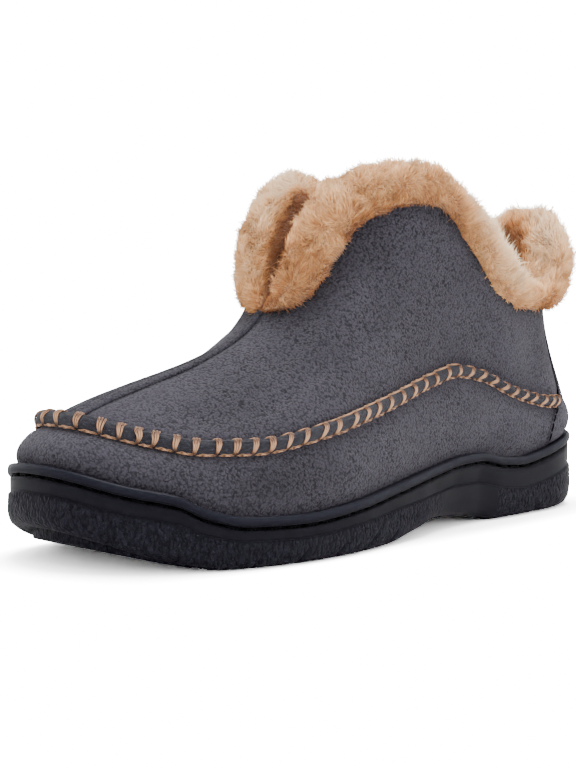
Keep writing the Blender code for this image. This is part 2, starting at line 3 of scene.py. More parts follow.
import bmesh
import bpy
import numpy as np
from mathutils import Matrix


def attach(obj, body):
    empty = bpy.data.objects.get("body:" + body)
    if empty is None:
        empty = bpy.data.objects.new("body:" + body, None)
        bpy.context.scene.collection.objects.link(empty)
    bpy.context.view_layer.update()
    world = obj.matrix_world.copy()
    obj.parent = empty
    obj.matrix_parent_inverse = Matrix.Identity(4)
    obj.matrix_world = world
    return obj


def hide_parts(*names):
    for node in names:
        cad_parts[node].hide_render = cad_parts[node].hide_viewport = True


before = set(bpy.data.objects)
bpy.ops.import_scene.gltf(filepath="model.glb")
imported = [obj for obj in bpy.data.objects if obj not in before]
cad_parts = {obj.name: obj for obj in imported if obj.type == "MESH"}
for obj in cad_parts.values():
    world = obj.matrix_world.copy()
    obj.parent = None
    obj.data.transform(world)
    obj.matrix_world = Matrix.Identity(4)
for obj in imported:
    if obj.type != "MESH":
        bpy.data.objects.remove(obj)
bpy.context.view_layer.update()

# the shoe's form: sizes in metres, the same that the CAD model is built from
form = {
    "length": 0.295,
    "heelBehind": 0.045,
    "ballWidth": 0.108,
    "gap": 0.0003,
    "heelRound": (0.150, 2.6),  # length of the rounding as a share of the foot, squareness
    "toeRoundOuter": (0.36, 2.3),
    "toeRoundInner": (0.25, 2.3),
    "toeSpring": 0.0135,
    "archLift": 0.0052,
    "archRecess": 0.0028,
    "rimHeight": 0.0312,
    "soleFloor": 0.0105,
    "edgeRound": 0.0050,
    "rib": 0.0038,
    "groove": 0.0013,
    "grooveDepth": 0.0022,
    "band": 0.0095,
    "cupWall": 0.0030,
    "wall": 0.0024,
    "wallBulge": 0.0024,
    "mocHeight": 0.0680,
    "mocInset": 0.0120,
    "throatHeight": 0.0930,
    "flapRise": 0.0445,
    "shaftHalfWidth": 0.0375,
    "throatStation": 0.640,
    "widestStation": 0.356,
    "collarBackStation": 0.042,
    "fleeceRise": 0.0610,
    "fleeceThickness": 0.0095,
    "fleeceBulge": 0.0075,
}
# station from the heel, outer and inner breadth as shares of the ball's width
planTable = (
    (0.00, 0.345, 0.345), (0.12, 0.362, 0.358), (0.27, 0.375, 0.345), (0.42, 0.410, 0.322),
    (0.55, 0.475, 0.375), (0.66, 0.520, 0.440), (0.76, 0.530, 0.475), (0.88, 0.520, 0.490),
    (1.00, 0.500, 0.490),
)
# station, x of the foot's middle line as a share of the ball's width
swingTable = ((0.0, 0.0), (0.3, 0.004), (0.6, 0.0), (0.8, -0.02), (1.0, -0.10))
# station, share of the arch's lift, share of the toe spring, rounding of the lower edge
undersideTable = (
    (0.00, 0.00, 0.00, 1.00), (0.27, 0.00, 0.00, 1.00), (0.35, 0.72, 0.00, 1.00),
    (0.43, 1.00, 0.00, 1.00), (0.50, 0.50, 0.00, 1.00), (0.57, 0.00, 0.00, 1.00),
    (0.845, 0.00, 0.00, 1.00), (0.88, 0.00, 0.12, 1.10), (0.92, 0.00, 0.34, 1.30),
    (0.96, 0.00, 0.63, 1.70), (1.00, 0.00, 0.97, 2.20),
)
# station, share of the rim's height, share of the band, share of the waist's recess
rimTable = (
    (0.00, 1.12, 1.00, 0.00), (0.065, 1.08, 1.00, 0.00), (0.10, 1.02, 1.00, 0.00),
    (0.14, 0.945, 1.00, 0.00), (0.17, 0.900, 0.97, 0.00), (0.205, 0.862, 0.94, 0.00),
    (0.26, 0.90, 0.90, 0.15), (0.32, 1.00, 0.85, 1.00), (0.37, 0.99, 0.80, 1.00),
    (0.43, 0.92, 0.70, 0.55), (0.48, 0.86, 0.60, 0.00), (0.54, 0.79, 0.50, 0.00),
    (0.64, 0.675, 0.42, 0.00), (0.74, 0.605, 0.38, 0.00), (0.82, 0.625, 0.38, 0.00),
    (0.87, 0.745, 0.45, 0.00), (0.90, 0.90, 0.50, 0.00), (0.95, 1.03, 0.53, 0.00),
    (1.00, 1.23, 0.55, 0.00),
)
# share of the lower side's height, inset as a share of the edge's rounding
lowerSideTable = ((0.0, 1.00), (0.07, 0.52), (0.24, 0.14), (0.55, 0.00), (0.96, 0.06), (1.0, 0.22))
# station, share of the moccasin seam's height, share of its inset
mocTable = (
    (0.00, 0.725, 0.36), (0.12, 0.735, 0.42), (0.18, 0.779, 0.45), (0.235, 0.844, 0.46),
    (0.30, 0.943, 0.47), (0.37, 0.988, 0.52), (0.43, 0.941, 0.56), (0.52, 0.852, 0.60),
    (0.61, 0.768, 0.72), (0.70, 0.697, 0.82), (0.80, 0.640, 0.98), (0.87, 0.643, 1.08),
    (0.93, 0.690, 1.18), (1.00, 0.782, 1.20),
)
# share round the seam from the toe, size of the rolled seam as a share of its radius and rise
rollTable = (
    (0.00, 0.86), (0.25, 0.87), (0.45, 0.80), (0.60, 0.70), (0.72, 0.61), (0.84, 0.67), (1.00, 0.68),
)
# share round the seam from the toe, lean of the panel there in degrees, pull at the seam, pull at the
# collar
panelTable = (
    (0.00, 29.5, 0.92, 1.00), (0.10, 37.0, 0.80, 0.86), (0.22, 50.0, 0.72, 0.72),
    (0.34, 62.0, 0.70, 0.66), (0.46, 74.0, 0.75, 0.70), (0.58, 86.0, 0.85, 0.80),
    (0.72, 92.0, 0.95, 0.90), (0.86, 76.0, 1.00, 0.95), (1.00, 70.0, 1.00, 1.00),
)
# share round the shaft from the front, share of the flap's rise
collarTable = (
    (0.000, 0.000), (0.085, 0.040), (0.120, 0.125), (0.140, 0.240), (0.154, 0.400), (0.170, 0.570),
    (0.190, 0.715), (0.215, 0.815), (0.260, 0.890), (0.305, 0.970), (0.350, 1.000), (0.400, 0.992),
    (0.440, 0.940), (0.467, 0.865), (0.492, 0.750), (0.521, 0.500), (0.547, 0.285), (0.577, 0.140),
    (0.640, 0.020), (0.750, 0.020), (1.000, 0.090),
)
# share of the fleece's rise above the throat, y of the shaft's front as a share of the length
frontTable = (
    (-0.3, -0.060), (0.0, 0.0), (0.11, 0.020), (0.31, 0.045), (0.54, 0.068), (0.77, 0.091), (1.0, 0.108),
)
# share round the shaft, top, bulge over the suede, thickness
fleeceTable = (
    (0.000, 0.74, -0.30, 0.90), (0.030, 0.78, 0.75, 1.00), (0.070, 0.845, 1.40, 1.20),
    (0.130, 0.91, 1.52, 1.30), (0.200, 0.97, 1.15, 1.20), (0.280, 1.00, 0.75, 1.10),
    (0.360, 1.00, 0.60, 1.10), (0.430, 0.93, 0.60, 1.10), (0.495, 0.80, 0.65, 1.05),
    (0.536, 0.62, 0.65, 1.00), (0.590, 0.36, 0.65, 0.95), (0.650, 0.19, 0.70, 0.90),
    (0.710, 0.18, 0.80, 0.95), (0.760, 0.34, 1.00, 1.05), (0.800, 0.56, 1.20, 1.15),
    (0.840, 0.69, 1.33, 1.20), (0.900, 0.745, 1.34, 1.25), (1.000, 0.75, 1.35, 1.25),
)
# share round the shaft, what the inner side adds to the fleece's top and to its bulge, factor of its
# thickness
fleeceInnerSideTable = (
    (0.000, 0.000, 0.00, 1.00), (0.050, 0.010, 0.13, 0.90), (0.130, 0.020, 0.45, 0.80),
    (0.210, -0.025, 0.50, 0.80), (0.300, -0.045, 0.38, 0.90), (0.380, -0.065, 0.13, 1.00),
    (0.470, -0.066, 0.00, 1.00), (0.600, -0.016, 0.00, 1.00), (0.700, 0.000, 0.00, 1.00),
    (0.770, -0.033, 0.00, 1.00), (0.840, -0.131, 0.00, 1.00), (0.893, -0.131, 0.00, 1.00),
    (0.950, -0.050, 0.00, 1.00), (1.000, 0.000, 0.00, 1.00),
)
# level of the upper, half width of the heel counter there, in turns
counterTable = (
    (0.00, 0.177), (0.25, 0.178), (0.50, 0.174), (0.75, 0.159), (0.90, 0.141), (1.00, 0.126),
    (1.20, 0.104), (1.60, 0.088), (2.00, 0.078),
)
# level of the upper, half width of the vamp's seam band there, in metres
seamTable = ((1.02, 0.0062), (1.15, 0.0060), (1.30, 0.0055), (1.50, 0.0042), (1.70, 0.0028), (1.97, 0.0018))


# a smooth curve through one column of a table: Hermite pieces whose slopes are harmonic means, so that it
# never overshoots
def curveThrough(table, column, at):
    rows = np.array(table, float)
    x, y = rows[:, 0], rows[:, column]
    step = np.diff(x)
    rise = np.diff(y) / step
    both = rise[:-1] * rise[1:]
    slope = np.zeros(len(x))
    slope[1:-1] = np.where(both > 0, both, 0.0) * 2 / np.where(both > 0, rise[:-1] + rise[1:], 1.0)
    slope[0], slope[-1] = rise[0], rise[-1]
    at = np.clip(at, x[0], x[-1])
    i = np.clip(np.searchsorted(x, at, side="right") - 1, 0, len(x) - 2)
    t = (at - x[i]) / step[i]
    first = (1 + 2 * t) * (1 - t) ** 2 * y[i] + t * (1 - t) ** 2 * step[i] * slope[i]
    return first + t * t * (3 - 2 * t) * y[i + 1] - t * t * (1 - t) * step[i] * slope[i + 1]


# vectors divided by their own lengths
def unit(vectors):
    return vectors / np.maximum(np.linalg.norm(vectors, axis=-1, keepdims=True), 1e-12)


# one side of the sole's outline from toe to heel: middle line plus breadth, times a superellipse at each
# end
def halfOutline(side):
    station = (1 + np.cos(np.linspace(0, math.pi, 1441))) / 2
    heelLong, heelSquare = form["heelRound"]
    toeLong, toeSquare = form["toeRoundOuter"] if side > 0 else form["toeRoundInner"]
    heelEnd = (1 - np.clip((heelLong - station) / heelLong, 0, 1) ** heelSquare) ** (1 / heelSquare)
    toeEnd = (1 - np.clip((toeLong - 1 + station) / toeLong, 0, 1) ** toeSquare) ** (1 / toeSquare)
    breadth = curveThrough(planTable, 1 if side > 0 else 2, station) * form["ballWidth"] * heelEnd * toeEnd
    x = curveThrough(swingTable, 1, station) * form["ballWidth"] + side * breadth
    y = form["heelBehind"] - station * form["length"]
    dx, dy = np.gradient(x), np.gradient(y)
    dx[0], dy[0], dx[-1], dy[-1] = side, 0, -side, 0
    size = np.hypot(dx, dy)
    run = np.concatenate([[0], np.cumsum(np.hypot(np.diff(x), np.diff(y)))])
    return run / run[-1], x, y, side * dy / size, -side * dx / size, station, run[-1]


halves = {side: halfOutline(side) for side in (1, -1)}
halfRun = (halves[1][6] + halves[-1][6]) / 2  # length of half the outline, in metres


# turn is 0 at the toe, 1 at the heel and 2 at the toe again, down the outer side and back up the inner one
def sideAndShare(turn):
    turn = np.mod(turn, 2.0)
    return np.where(turn < 1, 1, -1), np.where(turn < 1, turn, 2 - turn)


# x, y, outward normal and station on the outline: each half's points read at a share of its run
def onOutline(turn):
    side, share = sideAndShare(np.asarray(turn, float))
    found = []
    for k in range(1, 6):
        outer = np.interp(share, halves[1][0], halves[1][k])
        inner = np.interp(share, halves[-1][0], halves[-1][k])
        found.append(np.where(side > 0, outer, inner))
    return found


# height of the underside: the arch's lift and the toe spring, each times its share in the table
def underside(station):
    lift = curveThrough(undersideTable, 1, station) * form["archLift"]
    return lift + curveThrough(undersideTable, 2, station) * form["toeSpring"]


# height of the cup's floor: four fifths of the underside's height plus the floor's thickness
def cupFloor(station):
    return underside(station) * 0.8 + form["soleFloor"]


# height of the sole's rim: its share in the table times the rim's height
def rimAt(station):
    return curveThrough(rimTable, 1, station) * form["rimHeight"]


rimInset = form["edgeRound"] * 0.22 + form["cupWall"]
upperInset = rimInset + form["gap"]


# the side wall: from the rim (up = 0) to the moccasin seam (up = 1) the inset grows as up to the power 1.8,
# less a sine for the bulge, and the height in a straight line; below the rim it goes down to the cup's
# floor
def wallPoint(turn, up):
    x, y, nx, ny, station = onOutline(turn)
    rise = np.clip(up, 0, 1)
    mocInset = curveThrough(mocTable, 2, station) * form["mocInset"]
    inset = upperInset + (mocInset - upperInset) * rise**1.8 - form["wallBulge"] * np.sin(math.pi * rise)
    base, foot = rimAt(station), cupFloor(station) + form["gap"]
    top = curveThrough(mocTable, 1, station) * form["mocHeight"]
    height = np.where(up < 0, base + up * (base - foot), base + rise * (top - base))
    return np.stack([x - nx * inset, y - ny * inset, height], axis=-1)


# the ankle shaft: an ellipse at each height, rounder behind by its powers of sine and cosine, with a front
# that leans back by the front table
def shaftPoint(around, height):
    side, share = sideAndShare(around)
    lean = curveThrough(frontTable, 1, (height - form["throatHeight"]) / form["fleeceRise"]) * form["length"]
    front = form["heelBehind"] - form["throatStation"] * form["length"] + lean
    widest = form["heelBehind"] - form["widestStation"] * form["length"]
    back = form["heelBehind"] - form["collarBackStation"] * form["length"]
    sine, cosine = np.sin(share * math.pi), np.cos(share * math.pi)
    rear = cosine < 0
    power = np.where(rear, 0.8, 1.0)
    reach = np.where(rear, back - widest, widest - front)
    x = side * form["shaftHalfWidth"] * np.clip(sine, 0, 1) ** power
    y = widest - np.sign(cosine) * reach * np.abs(cosine) ** power
    return np.stack([x, y, height + 0 * x], axis=-1)


# the place round the shaft above a place of the outline: moved forward by a sine of its share
def aroundShaft(turn):
    side, share = sideAndShare(turn)
    share = share - 0.17 * np.sin(math.pi * share)
    return np.where(side > 0, share, 2 - share)


# height of the suede's edge: the throat's height plus the flap's rise times its share in the table
def suedeTop(around):
    return form["throatHeight"] + curveThrough(collarTable, 1, sideAndShare(around)[1]) * form["flapRise"]


# vamp and quarters: a Hermite curve from the seam (up = 0), leaning inward, to the collar (up = 1), upright
def panelPoint(turn, up):
    share = sideAndShare(turn)[1]
    step = 1e-3
    low = wallPoint(turn, 1.0)
    around = aroundShaft(turn)
    edge = suedeTop(around)
    top = shaftPoint(around, edge)
    along = unit(wallPoint(turn + step, 1.0) - wallPoint(turn - step, 1.0))
    nx, ny = onOutline(turn)[2:4]
    lean = np.radians(curveThrough(panelTable, 1, share))
    inward = np.stack([-nx * np.cos(lean), -ny * np.cos(lean), np.sin(lean)], axis=-1)
    span = top - low
    distance = np.linalg.norm(span, axis=-1, keepdims=True)
    across = np.sum(span * along, axis=-1, keepdims=True)
    pull = curveThrough(panelTable, 2, share)[..., None] * np.sqrt(np.clip(distance**2 - across**2, 0, None))
    start = inward * pull + along * across
    rise = unit(shaftPoint(around, edge + step) - shaftPoint(around, edge - step))
    end = rise * distance * curveThrough(panelTable, 3, share)[..., None]
    t = np.asarray(up, float)[..., None]
    first = low * (1 + 2 * t) * (1 - t) ** 2 + start * t * (1 - t) ** 2
    return first + top * t * t * (3 - 2 * t) - end * t * t * (1 - t)


# the wall's point up to level 1, the panel's above: -1 is the upper's foot, 0 the rim, 1 the moccasin seam,
# 2 the collar
def upperPoint(turn, level):
    turn = np.asarray(turn, float)
    level = np.asarray(level, float) + 0 * turn
    turn = turn + 0 * level
    low = wallPoint(turn, np.minimum(level, 1.0))
    high = panelPoint(turn, np.clip(level - 1, 0, 1))
    return np.where((level > 1)[..., None], high, low)


# outward normal: the cross product of the small steps along turn and along level
def upperNormal(turn, level):
    step = 2e-3
    turn = np.asarray(turn, float)
    level = np.clip(np.asarray(level, float) + 0 * turn, -1, 2)
    across = upperPoint(turn + step, level) - upperPoint(turn - step, level)
    up = upperPoint(turn, np.minimum(level + step, 2)) - upperPoint(turn, np.maximum(level - step, -1))
    return unit(np.cross(across, up))


# the normals of a grid closed both ways: the cross product of the differences between neighbours
def gridNormals(points):
    across = np.roll(points, -1, axis=1) - np.roll(points, 1, axis=1)
    up = np.roll(points, -1, axis=0) - np.roll(points, 1, axis=0)
    return unit(np.cross(across, up))


# soft unevenness: a sum of sine waves in slanted directions; with slope, which way it rises instead
def softNoise(points, wave, seed, waves=7, slope=False):
    draw = np.random.default_rng(seed)
    total = np.zeros(points.shape if slope else points.shape[:-1])
    for _ in range(waves):
        direction = unit(draw.normal(size=3))
        phase = points @ direction * 2 * math.pi / (wave * draw.uniform(0.7, 1.4))
        phase = phase + draw.uniform(0, 2 * math.pi)
        total += np.cos(phase)[..., None] * direction if slope else np.sin(phase)
    return total / math.sqrt(waves)


# the four corners of each cell of a grid; a closed way runs on from its last row or column to the first
def gridFaces(rows, columns, closedAcross=True, closedUp=False):
    i = np.arange(rows if closedUp else rows - 1)[:, None]
    j = np.arange(columns if closedAcross else columns - 1)[None, :]
    a, b = i * columns + j, i * columns + (j + 1) % columns
    c, d = (i + 1) % rows * columns + (j + 1) % columns, (i + 1) % rows * columns + j
    return np.stack([a, b, c, d], axis=-1).reshape(-1, 4)


# even steps of turn, once round the shoe
def turnsRound(columns):
    return np.arange(columns) * 2 / columns


# every turn at every level, as two grids with one row for each level
def everyTurnAndLevel(turn, level):
    return np.broadcast_arrays(turn[None, :], level[:, None])


# the line that an outline shrinks to: the foot's middle line, kept between two stations
def middleLine(station, y, front, back):
    low, high = (form["heelBehind"] - at * form["length"] for at in (front, back))
    x = curveThrough(swingTable, 1, station) * form["ballWidth"]
    return np.stack([x, np.clip(y, low, high)], axis=-1)


# an outline drawn in towards that line by a share, and its points' stations
def drawnIn(outline, middle, share):
    flat = middle + (outline - middle) * share
    return flat, (form["heelBehind"] - flat[:, 1]) / form["length"]


# straight lines through some columns of a table, read at each place
def columnsAt(table, at, columns):
    return [np.interp(at, [row[0] for row in table], [row[k] for row in table]) for k in columns]


# one mesh object from points and a list of face arrays; uv holds one pair of numbers for each point
def newPiece(name, points, faceSets, look, uv=None):
    points = np.asarray(points, np.float32).reshape(-1, 3)
    corners = np.concatenate([f.ravel() for f in faceSets]).astype(np.int32)
    sizes = np.concatenate([np.full(len(f), f.shape[1]) for f in faceSets])
    mesh = bpy.data.meshes.new(name)
    mesh.vertices.add(len(points))
    mesh.vertices.foreach_set("co", points.ravel())
    mesh.loops.add(len(corners))
    mesh.loops.foreach_set("vertex_index", corners)
    mesh.polygons.add(len(sizes))
    mesh.polygons.foreach_set("loop_start", np.concatenate([[0], np.cumsum(sizes)[:-1]]).astype(np.int32))
    mesh.polygons.foreach_set("use_smooth", np.ones(len(sizes), bool))
    if uv is not None:
        layer = mesh.uv_layers.new(name="surface")
        layer.uv.foreach_set("vector", np.asarray(uv, np.float32).reshape(-1, 2)[corners].ravel())
    mesh.update(calc_edges=True)
    mesh.validate()
    mesh.materials.append(look.material)
    piece = bpy.data.objects.new(name, mesh)
    bpy.context.scene.collection.objects.link(piece)
    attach(piece, "root")
    print("slipper:", name, "has", len(sizes), "faces")
    return piece


# threads: tubes carried along many paths at once, each ring a circle square to its path, closed at both
# ends
def tubePoints(paths, radius, sides, facing):
    count, steps = paths.shape[:2]
    tangent = unit(np.gradient(paths, axis=1))
    first = unit(np.cross(tangent, facing))
    second = np.cross(tangent, first)
    angle = np.arange(sides) * 2 * math.pi / sides
    ring = first[:, :, None] * np.cos(angle)[:, None] + second[:, :, None] * np.sin(angle)[:, None]
    rings = paths[:, :, None] + ring * np.asarray(radius)[..., None, None]
    points = np.concatenate([rings.reshape(count, -1, 3), paths[:, :1], paths[:, -1:]], axis=1)
    side = gridFaces(steps, sides)
    j = np.arange(sides)
    last = (steps - 1) * sides
    start = np.stack([(j + 1) % sides, j, np.full(sides, steps * sides)], axis=-1)
    end = np.stack([last + j, last + (j + 1) % sides, np.full(sides, steps * sides + 1)], axis=-1)
    offset = np.arange(count)[:, None, None] * (steps * sides + 2)
    ends = np.concatenate([start, end])
    faces = [(side[None] + offset).reshape(-1, 4), (ends[None] + offset).reshape(-1, 3)]
    v = np.linspace(0, 1, steps)
    uv = np.stack(np.broadcast_arrays(angle[None, :] / (2 * math.pi), v[:, None]), axis=-1).reshape(-1, 2)
    uv = np.concatenate([uv, [[0.5, 0.0], [0.5, 1.0]]])
    return points, faces, np.broadcast_to(uv, (count,) + uv.shape).copy()


# one piece of many threads; facing says which way their first spoke leans, radius may change along each
def newThreads(name, paths, radius, facing, look):
    facing = np.broadcast_to(np.asarray(facing, float), paths.shape)
    points, faces, uv = tubePoints(paths, np.broadcast_to(radius, paths.shape[:2]), 6, facing)
    newPiece(name, points, faces, look, uv)


# one output socket of a material, so that shader maths reads as arithmetic
class Field:
    def __init__(self, look, socket):
        self.look, self.socket = look, socket

    def maths(self, operation, first, second):
        return self.look.node("ShaderNodeMath", {"operation": operation}, {0: first, 1: second})

    def __add__(self, other):
        return self.maths("ADD", self, other)

    def __radd__(self, other):
        return self.maths("ADD", other, self)

    def __sub__(self, other):
        return self.maths("SUBTRACT", self, other)

    def __rsub__(self, other):
        return self.maths("SUBTRACT", other, self)

    def __mul__(self, other):
        return self.maths("MULTIPLY", self, other)

    def __rmul__(self, other):
        return self.maths("MULTIPLY", other, self)

    def __pow__(self, other):
        return self.maths("POWER", self, other)


# a material: node() makes any node, the rest are short names for what is used most
class Look:
    def __init__(self, name, **uniform):
        self.material = bpy.data.materials.new(name)
        self.material.use_nodes = True
        self.nodes, self.links = self.material.node_tree.nodes, self.material.node_tree.links
        self.shader = self.nodes["Principled BSDF"]
        for socket, value in uniform.items():
            self.shader.inputs[socket.replace("_", " ")].default_value = value

    def node(self, kind, settings, values, output=0):
        made = self.nodes.new(kind)
        for key, value in settings.items():
            if key == "stops":
                for k, (at, colour) in enumerate(value):
                    stop = made.color_ramp.elements[k] if k < 2 else made.color_ramp.elements.new(at)
                    stop.position, stop.color = at, (*colour, 1)
            else:
                setattr(made, key, value)
        for key, value in values.items():
            if isinstance(value, Field):
                self.links.new(value.socket, made.inputs[key])
            else:
                made.inputs[key].default_value = value
        return Field(self, made.outputs[output])

    def place(self, kind="Object"):
        return self.node("ShaderNodeTexCoord", {}, {}, kind)

    def stretched(self, place, scale):
        return self.node("ShaderNodeMapping", {}, {"Vector": place, "Scale": scale})

    # a place pushed about by coloured noise, so that a regular pattern on it turns wormlike
    def bent(self, place, scale, reach, carried):
        push = self.node("ShaderNodeTexNoise", {}, {"Vector": place, "Scale": scale, "Detail": 1.0}, 1)
        sockets = {0: push, 1: reach, 2: carried}
        return self.node("ShaderNodeVectorMath", {"operation": "MULTIPLY_ADD"}, sockets)

    # how far each place lies from the middle of its cell, 0 to about 1
    def cells(self, place, scale):
        return self.node("ShaderNodeTexVoronoi", {}, {"Vector": place, "Scale": scale})

    def noise(self, place, scale, detail=2.0, rough=0.5, distortion=0.0):
        sockets = {"Vector": place, "Scale": scale, "Detail": detail, "Roughness": rough}
        return self.node("ShaderNodeTexNoise", {}, {**sockets, "Distortion": distortion})

    # 0 below low, 1 above high, smooth between
    def between(self, value, low, high):
        sockets = {"Value": value, "From Min": low, "From Max": high}
        return self.node("ShaderNodeMapRange", {"interpolation_type": "SMOOTHSTEP"}, sockets)

    def mix(self, factor, first, second):
        colours = {0: factor}
        for key, colour in ((6, first), (7, second)):
            colours[key] = colour if isinstance(colour, Field) else (*colour, 1)
        return self.node("ShaderNodeMix", {"data_type": "RGBA"}, colours, 2)

    def parts(self, vector, axis):
        return self.node("ShaderNodeSeparateXYZ", {}, {"Vector": vector}, axis)

    def paint(self, colour, roughness=None):
        self.links.new(colour.socket, self.shader.inputs["Base Color"])
        if roughness is not None:
            self.links.new(roughness.socket, self.shader.inputs["Roughness"])

    def bump(self, height, distance, strength=1.0):
        sockets = {"Height": height, "Distance": distance, "Strength": strength}
        made = self.node("ShaderNodeBump", {}, sockets)
        self.links.new(made.socket, self.shader.inputs["Normal"])


# napped suede: small lighter tufts with dark wormlike gaps, which are cells bent by noise; the piece's UV
# holds painted light and shade (with the nap's tone), which scales the colour, and the nap's contrast
def suedeLook(name, dark, middle, light):
    look = Look(name, Sheen_Weight=0.07, Sheen_Roughness=0.5, Specular_IOR_Level=0.05)
    place, uv = look.place(), look.place("UV")
    shade, contrast = look.parts(uv, 0), look.parts(uv, 1)
    cells = look.cells(look.bent(place, 620, (0.0018, 0.0018, 0.0018), place), 1080)
    grain = look.noise(place, 1500, 2.0, 0.6, 0.5)
    lift = (1 - look.between(cells + 0.45 * grain, 0.42, 1.15)) * contrast + 0.62 * (1 - contrast)
    colour = look.mix(lift, look.mix(grain, dark, middle), light)
    colour = look.node("ShaderNodeVectorMath", {"operation": "SCALE"}, {0: colour, 3: shade})
    look.paint(colour, 0.82 + 0.15 * grain)
    look.bump(lift * 0.6 + 0.5 * grain, 0.0008, 0.8)
    return look


suede = suedeLook("greySuede", (0.006, 0.0055, 0.0073), (0.019, 0.0175, 0.0230), (0.051, 0.0470, 0.060))
suedeCombed = suedeLook("combedSuede", (0.003, 0.0028, 0.0037), (0.013, 0.012, 0.016), (0.043, 0.0395, 0.051))


# dark plain-weave cloth of the roll: threads along and across, from the piece's own UV in millimetres
def rollLook():
    look = Look("rollCloth", Sheen_Weight=0.08, Specular_IOR_Level=0.12)
    uv = look.place("UV")
    along, across = look.parts(uv, 0), look.parts(uv, 1)
    weave = look.node("ShaderNodeMath", {"operation": "SINE"}, {0: along * (2 * math.pi / 0.85)})
    weft = look.node("ShaderNodeMath", {"operation": "SINE"}, {0: across * (2 * math.pi / 0.85)})
    streaks = look.noise(look.stretched(uv, (0.42, 2.0, 1.0)), 1.3, 3.0, 0.62, 0.5)
    specks = look.noise(look.place(), 1500, 3.0, 0.6)
    height = weave * weft * 0.22 + streaks * 1.3 + specks * 0.5
    colour = look.mix(look.between(height, 0.62, 1.25), (0.008, 0.008, 0.011), (0.036, 0.035, 0.046))
    colour = look.mix(look.between(specks + 0.6 * streaks, 0.92, 1.12) * 0.6, colour, (0.13, 0.125, 0.155))
    look.paint(colour, 0.8 + 0.15 * specks)
    look.bump(height, 0.0005, 0.8)
    return look


# moulded rubber: the crinkle lies low on the side (v under 1 in the piece's UV) and fades out in the waist
def rubberLook():
    look = Look("soleRubber", Specular_IOR_Level=0.065, Coat_Roughness=0.25, Coat_IOR=1.3)
    look.shader.inputs["Specular Tint"].default_value = (0.80, 0.80, 1.0, 1)
    place, uv = look.place(), look.place("UV")
    station, row = look.parts(uv, 0), look.parts(uv, 1)
    tall = look.stretched(place, (1.0, 1.0, 0.5))
    wrinkles = look.cells(look.bent(place, 420, (0.0026, 0.0026, 0.0016), tall), 720)
    fine = look.noise(place, 1400, 2.0, 0.5)
    cloud = look.noise(place, 45, 1.0, 0.5)
    waist = look.between(station, 0.255, 0.285) * (1 - look.between(station, 0.405, 0.47))
    low = look.between(row, -0.45, -0.25) * (1 - look.between(row, 0.88, 1.0))
    crinkle = low * (1 - waist) * (0.35 + 0.65 * look.between(cloud, 0.30, 0.60))
    ridge = 1 - look.between(wrinkles + 0.15 * fine, 0.30, 0.95)
    colour = look.mix(ridge * crinkle, (0.0042, 0.0040, 0.0060), (0.0112, 0.0106, 0.0156))
    colour = look.mix((1 - look.between(row, -0.2, 0.0)) * 0.35, colour, (0.0060, 0.0055, 0.0075))
    rib = look.between(row, 2.60, 2.80) * (1 - look.between(row, 3.0, 3.2))
    colour = look.mix(rib, colour, (0.0058, 0.0060, 0.0105))
    # painted shade: the groove's floor drawn nearly black
    groove = look.between(row, 1.97, 2.03) * (1 - look.between(row, 2.36, 2.46))
    colour = look.mix(groove, colour, (0.0008, 0.0008, 0.0012))
    look.paint(colour, 0.52 + 0.12 * crinkle + 0.06 * fine)
    coat = look.between(row, 2.70, 2.88) * (1 - look.between(row, 2.96, 3.05)) * 0.22
    look.links.new(coat.socket, look.shader.inputs["Coat Weight"])
    look.bump(ridge * crinkle + 0.05 * fine, 0.0009, 1.0)
    return look


# waxed thread of twisted strands: slanted stripes over the thread's own UV, with painted shade towards both
# ends
def threadLook(name, dark, light, twists):
    look = Look(name, Specular_IOR_Level=0.25, Sheen_Weight=0.1)
    uv = look.place("UV")
    along = look.parts(uv, 1)
    slant = (look.parts(uv, 0) + along * twists) * (2 * math.pi)
    stripe = look.node("ShaderNodeMath", {"operation": "SINE"}, {0: slant}) * 0.5 + 0.5
    fuzz = look.noise(look.place(), 1800, 2.0, 0.6)
    # painted shade where the thread goes into the cloth at both ends
    ends = look.between(along, 0.0, 0.16) * (1 - look.between(along, 0.86, 1.0))
    colour = look.mix(look.between(stripe * 0.6 + fuzz * 0.8, 0.30, 0.95) * (0.25 + 0.75 * ends), dark, light)
    look.paint(colour, 0.6 + 0.2 * fuzz)
    look.bump(stripe + 0.4 * fuzz, 0.0002, 0.7)
    return look


# fleece: each lock goes from brown at its root to tan and cream at its tip; u is the lock's tone with its
# painted light and shade, v runs along it
def lockLook():
    look = Look("fleeceLocks", Sheen_Weight=0.3, Sheen_Roughness=0.45, Specular_IOR_Level=0.05, Roughness=0.9)
    look.shader.inputs["Sheen Tint"].default_value = (1.0, 0.86, 0.70, 1)
    uv = look.place("UV")
    toneAndPaintedLight, along = look.parts(uv, 0), look.parts(uv, 1)
    stops = [(0.0, (0.23, 0.085, 0.034)), (0.22, (0.52, 0.21, 0.070)), (0.45, (0.82, 0.43, 0.18)),
             (0.68, (0.94, 0.58, 0.29)), (1.0, (0.97, 0.76, 0.53))]
    tip = look.node("ShaderNodeValToRGB", {"stops": stops}, {0: toneAndPaintedLight})
    stops = [(0.0, (0.17, 0.058, 0.022)), (0.25, (0.36, 0.135, 0.050)), (0.50, (0.68, 0.32, 0.125)),
             (1.0, (0.90, 0.62, 0.38))]
    root = look.node("ShaderNodeValToRGB", {"stops": stops}, {0: toneAndPaintedLight})
    look.paint(look.mix(look.between(along, -0.1, 0.50), root, tip))
    return look
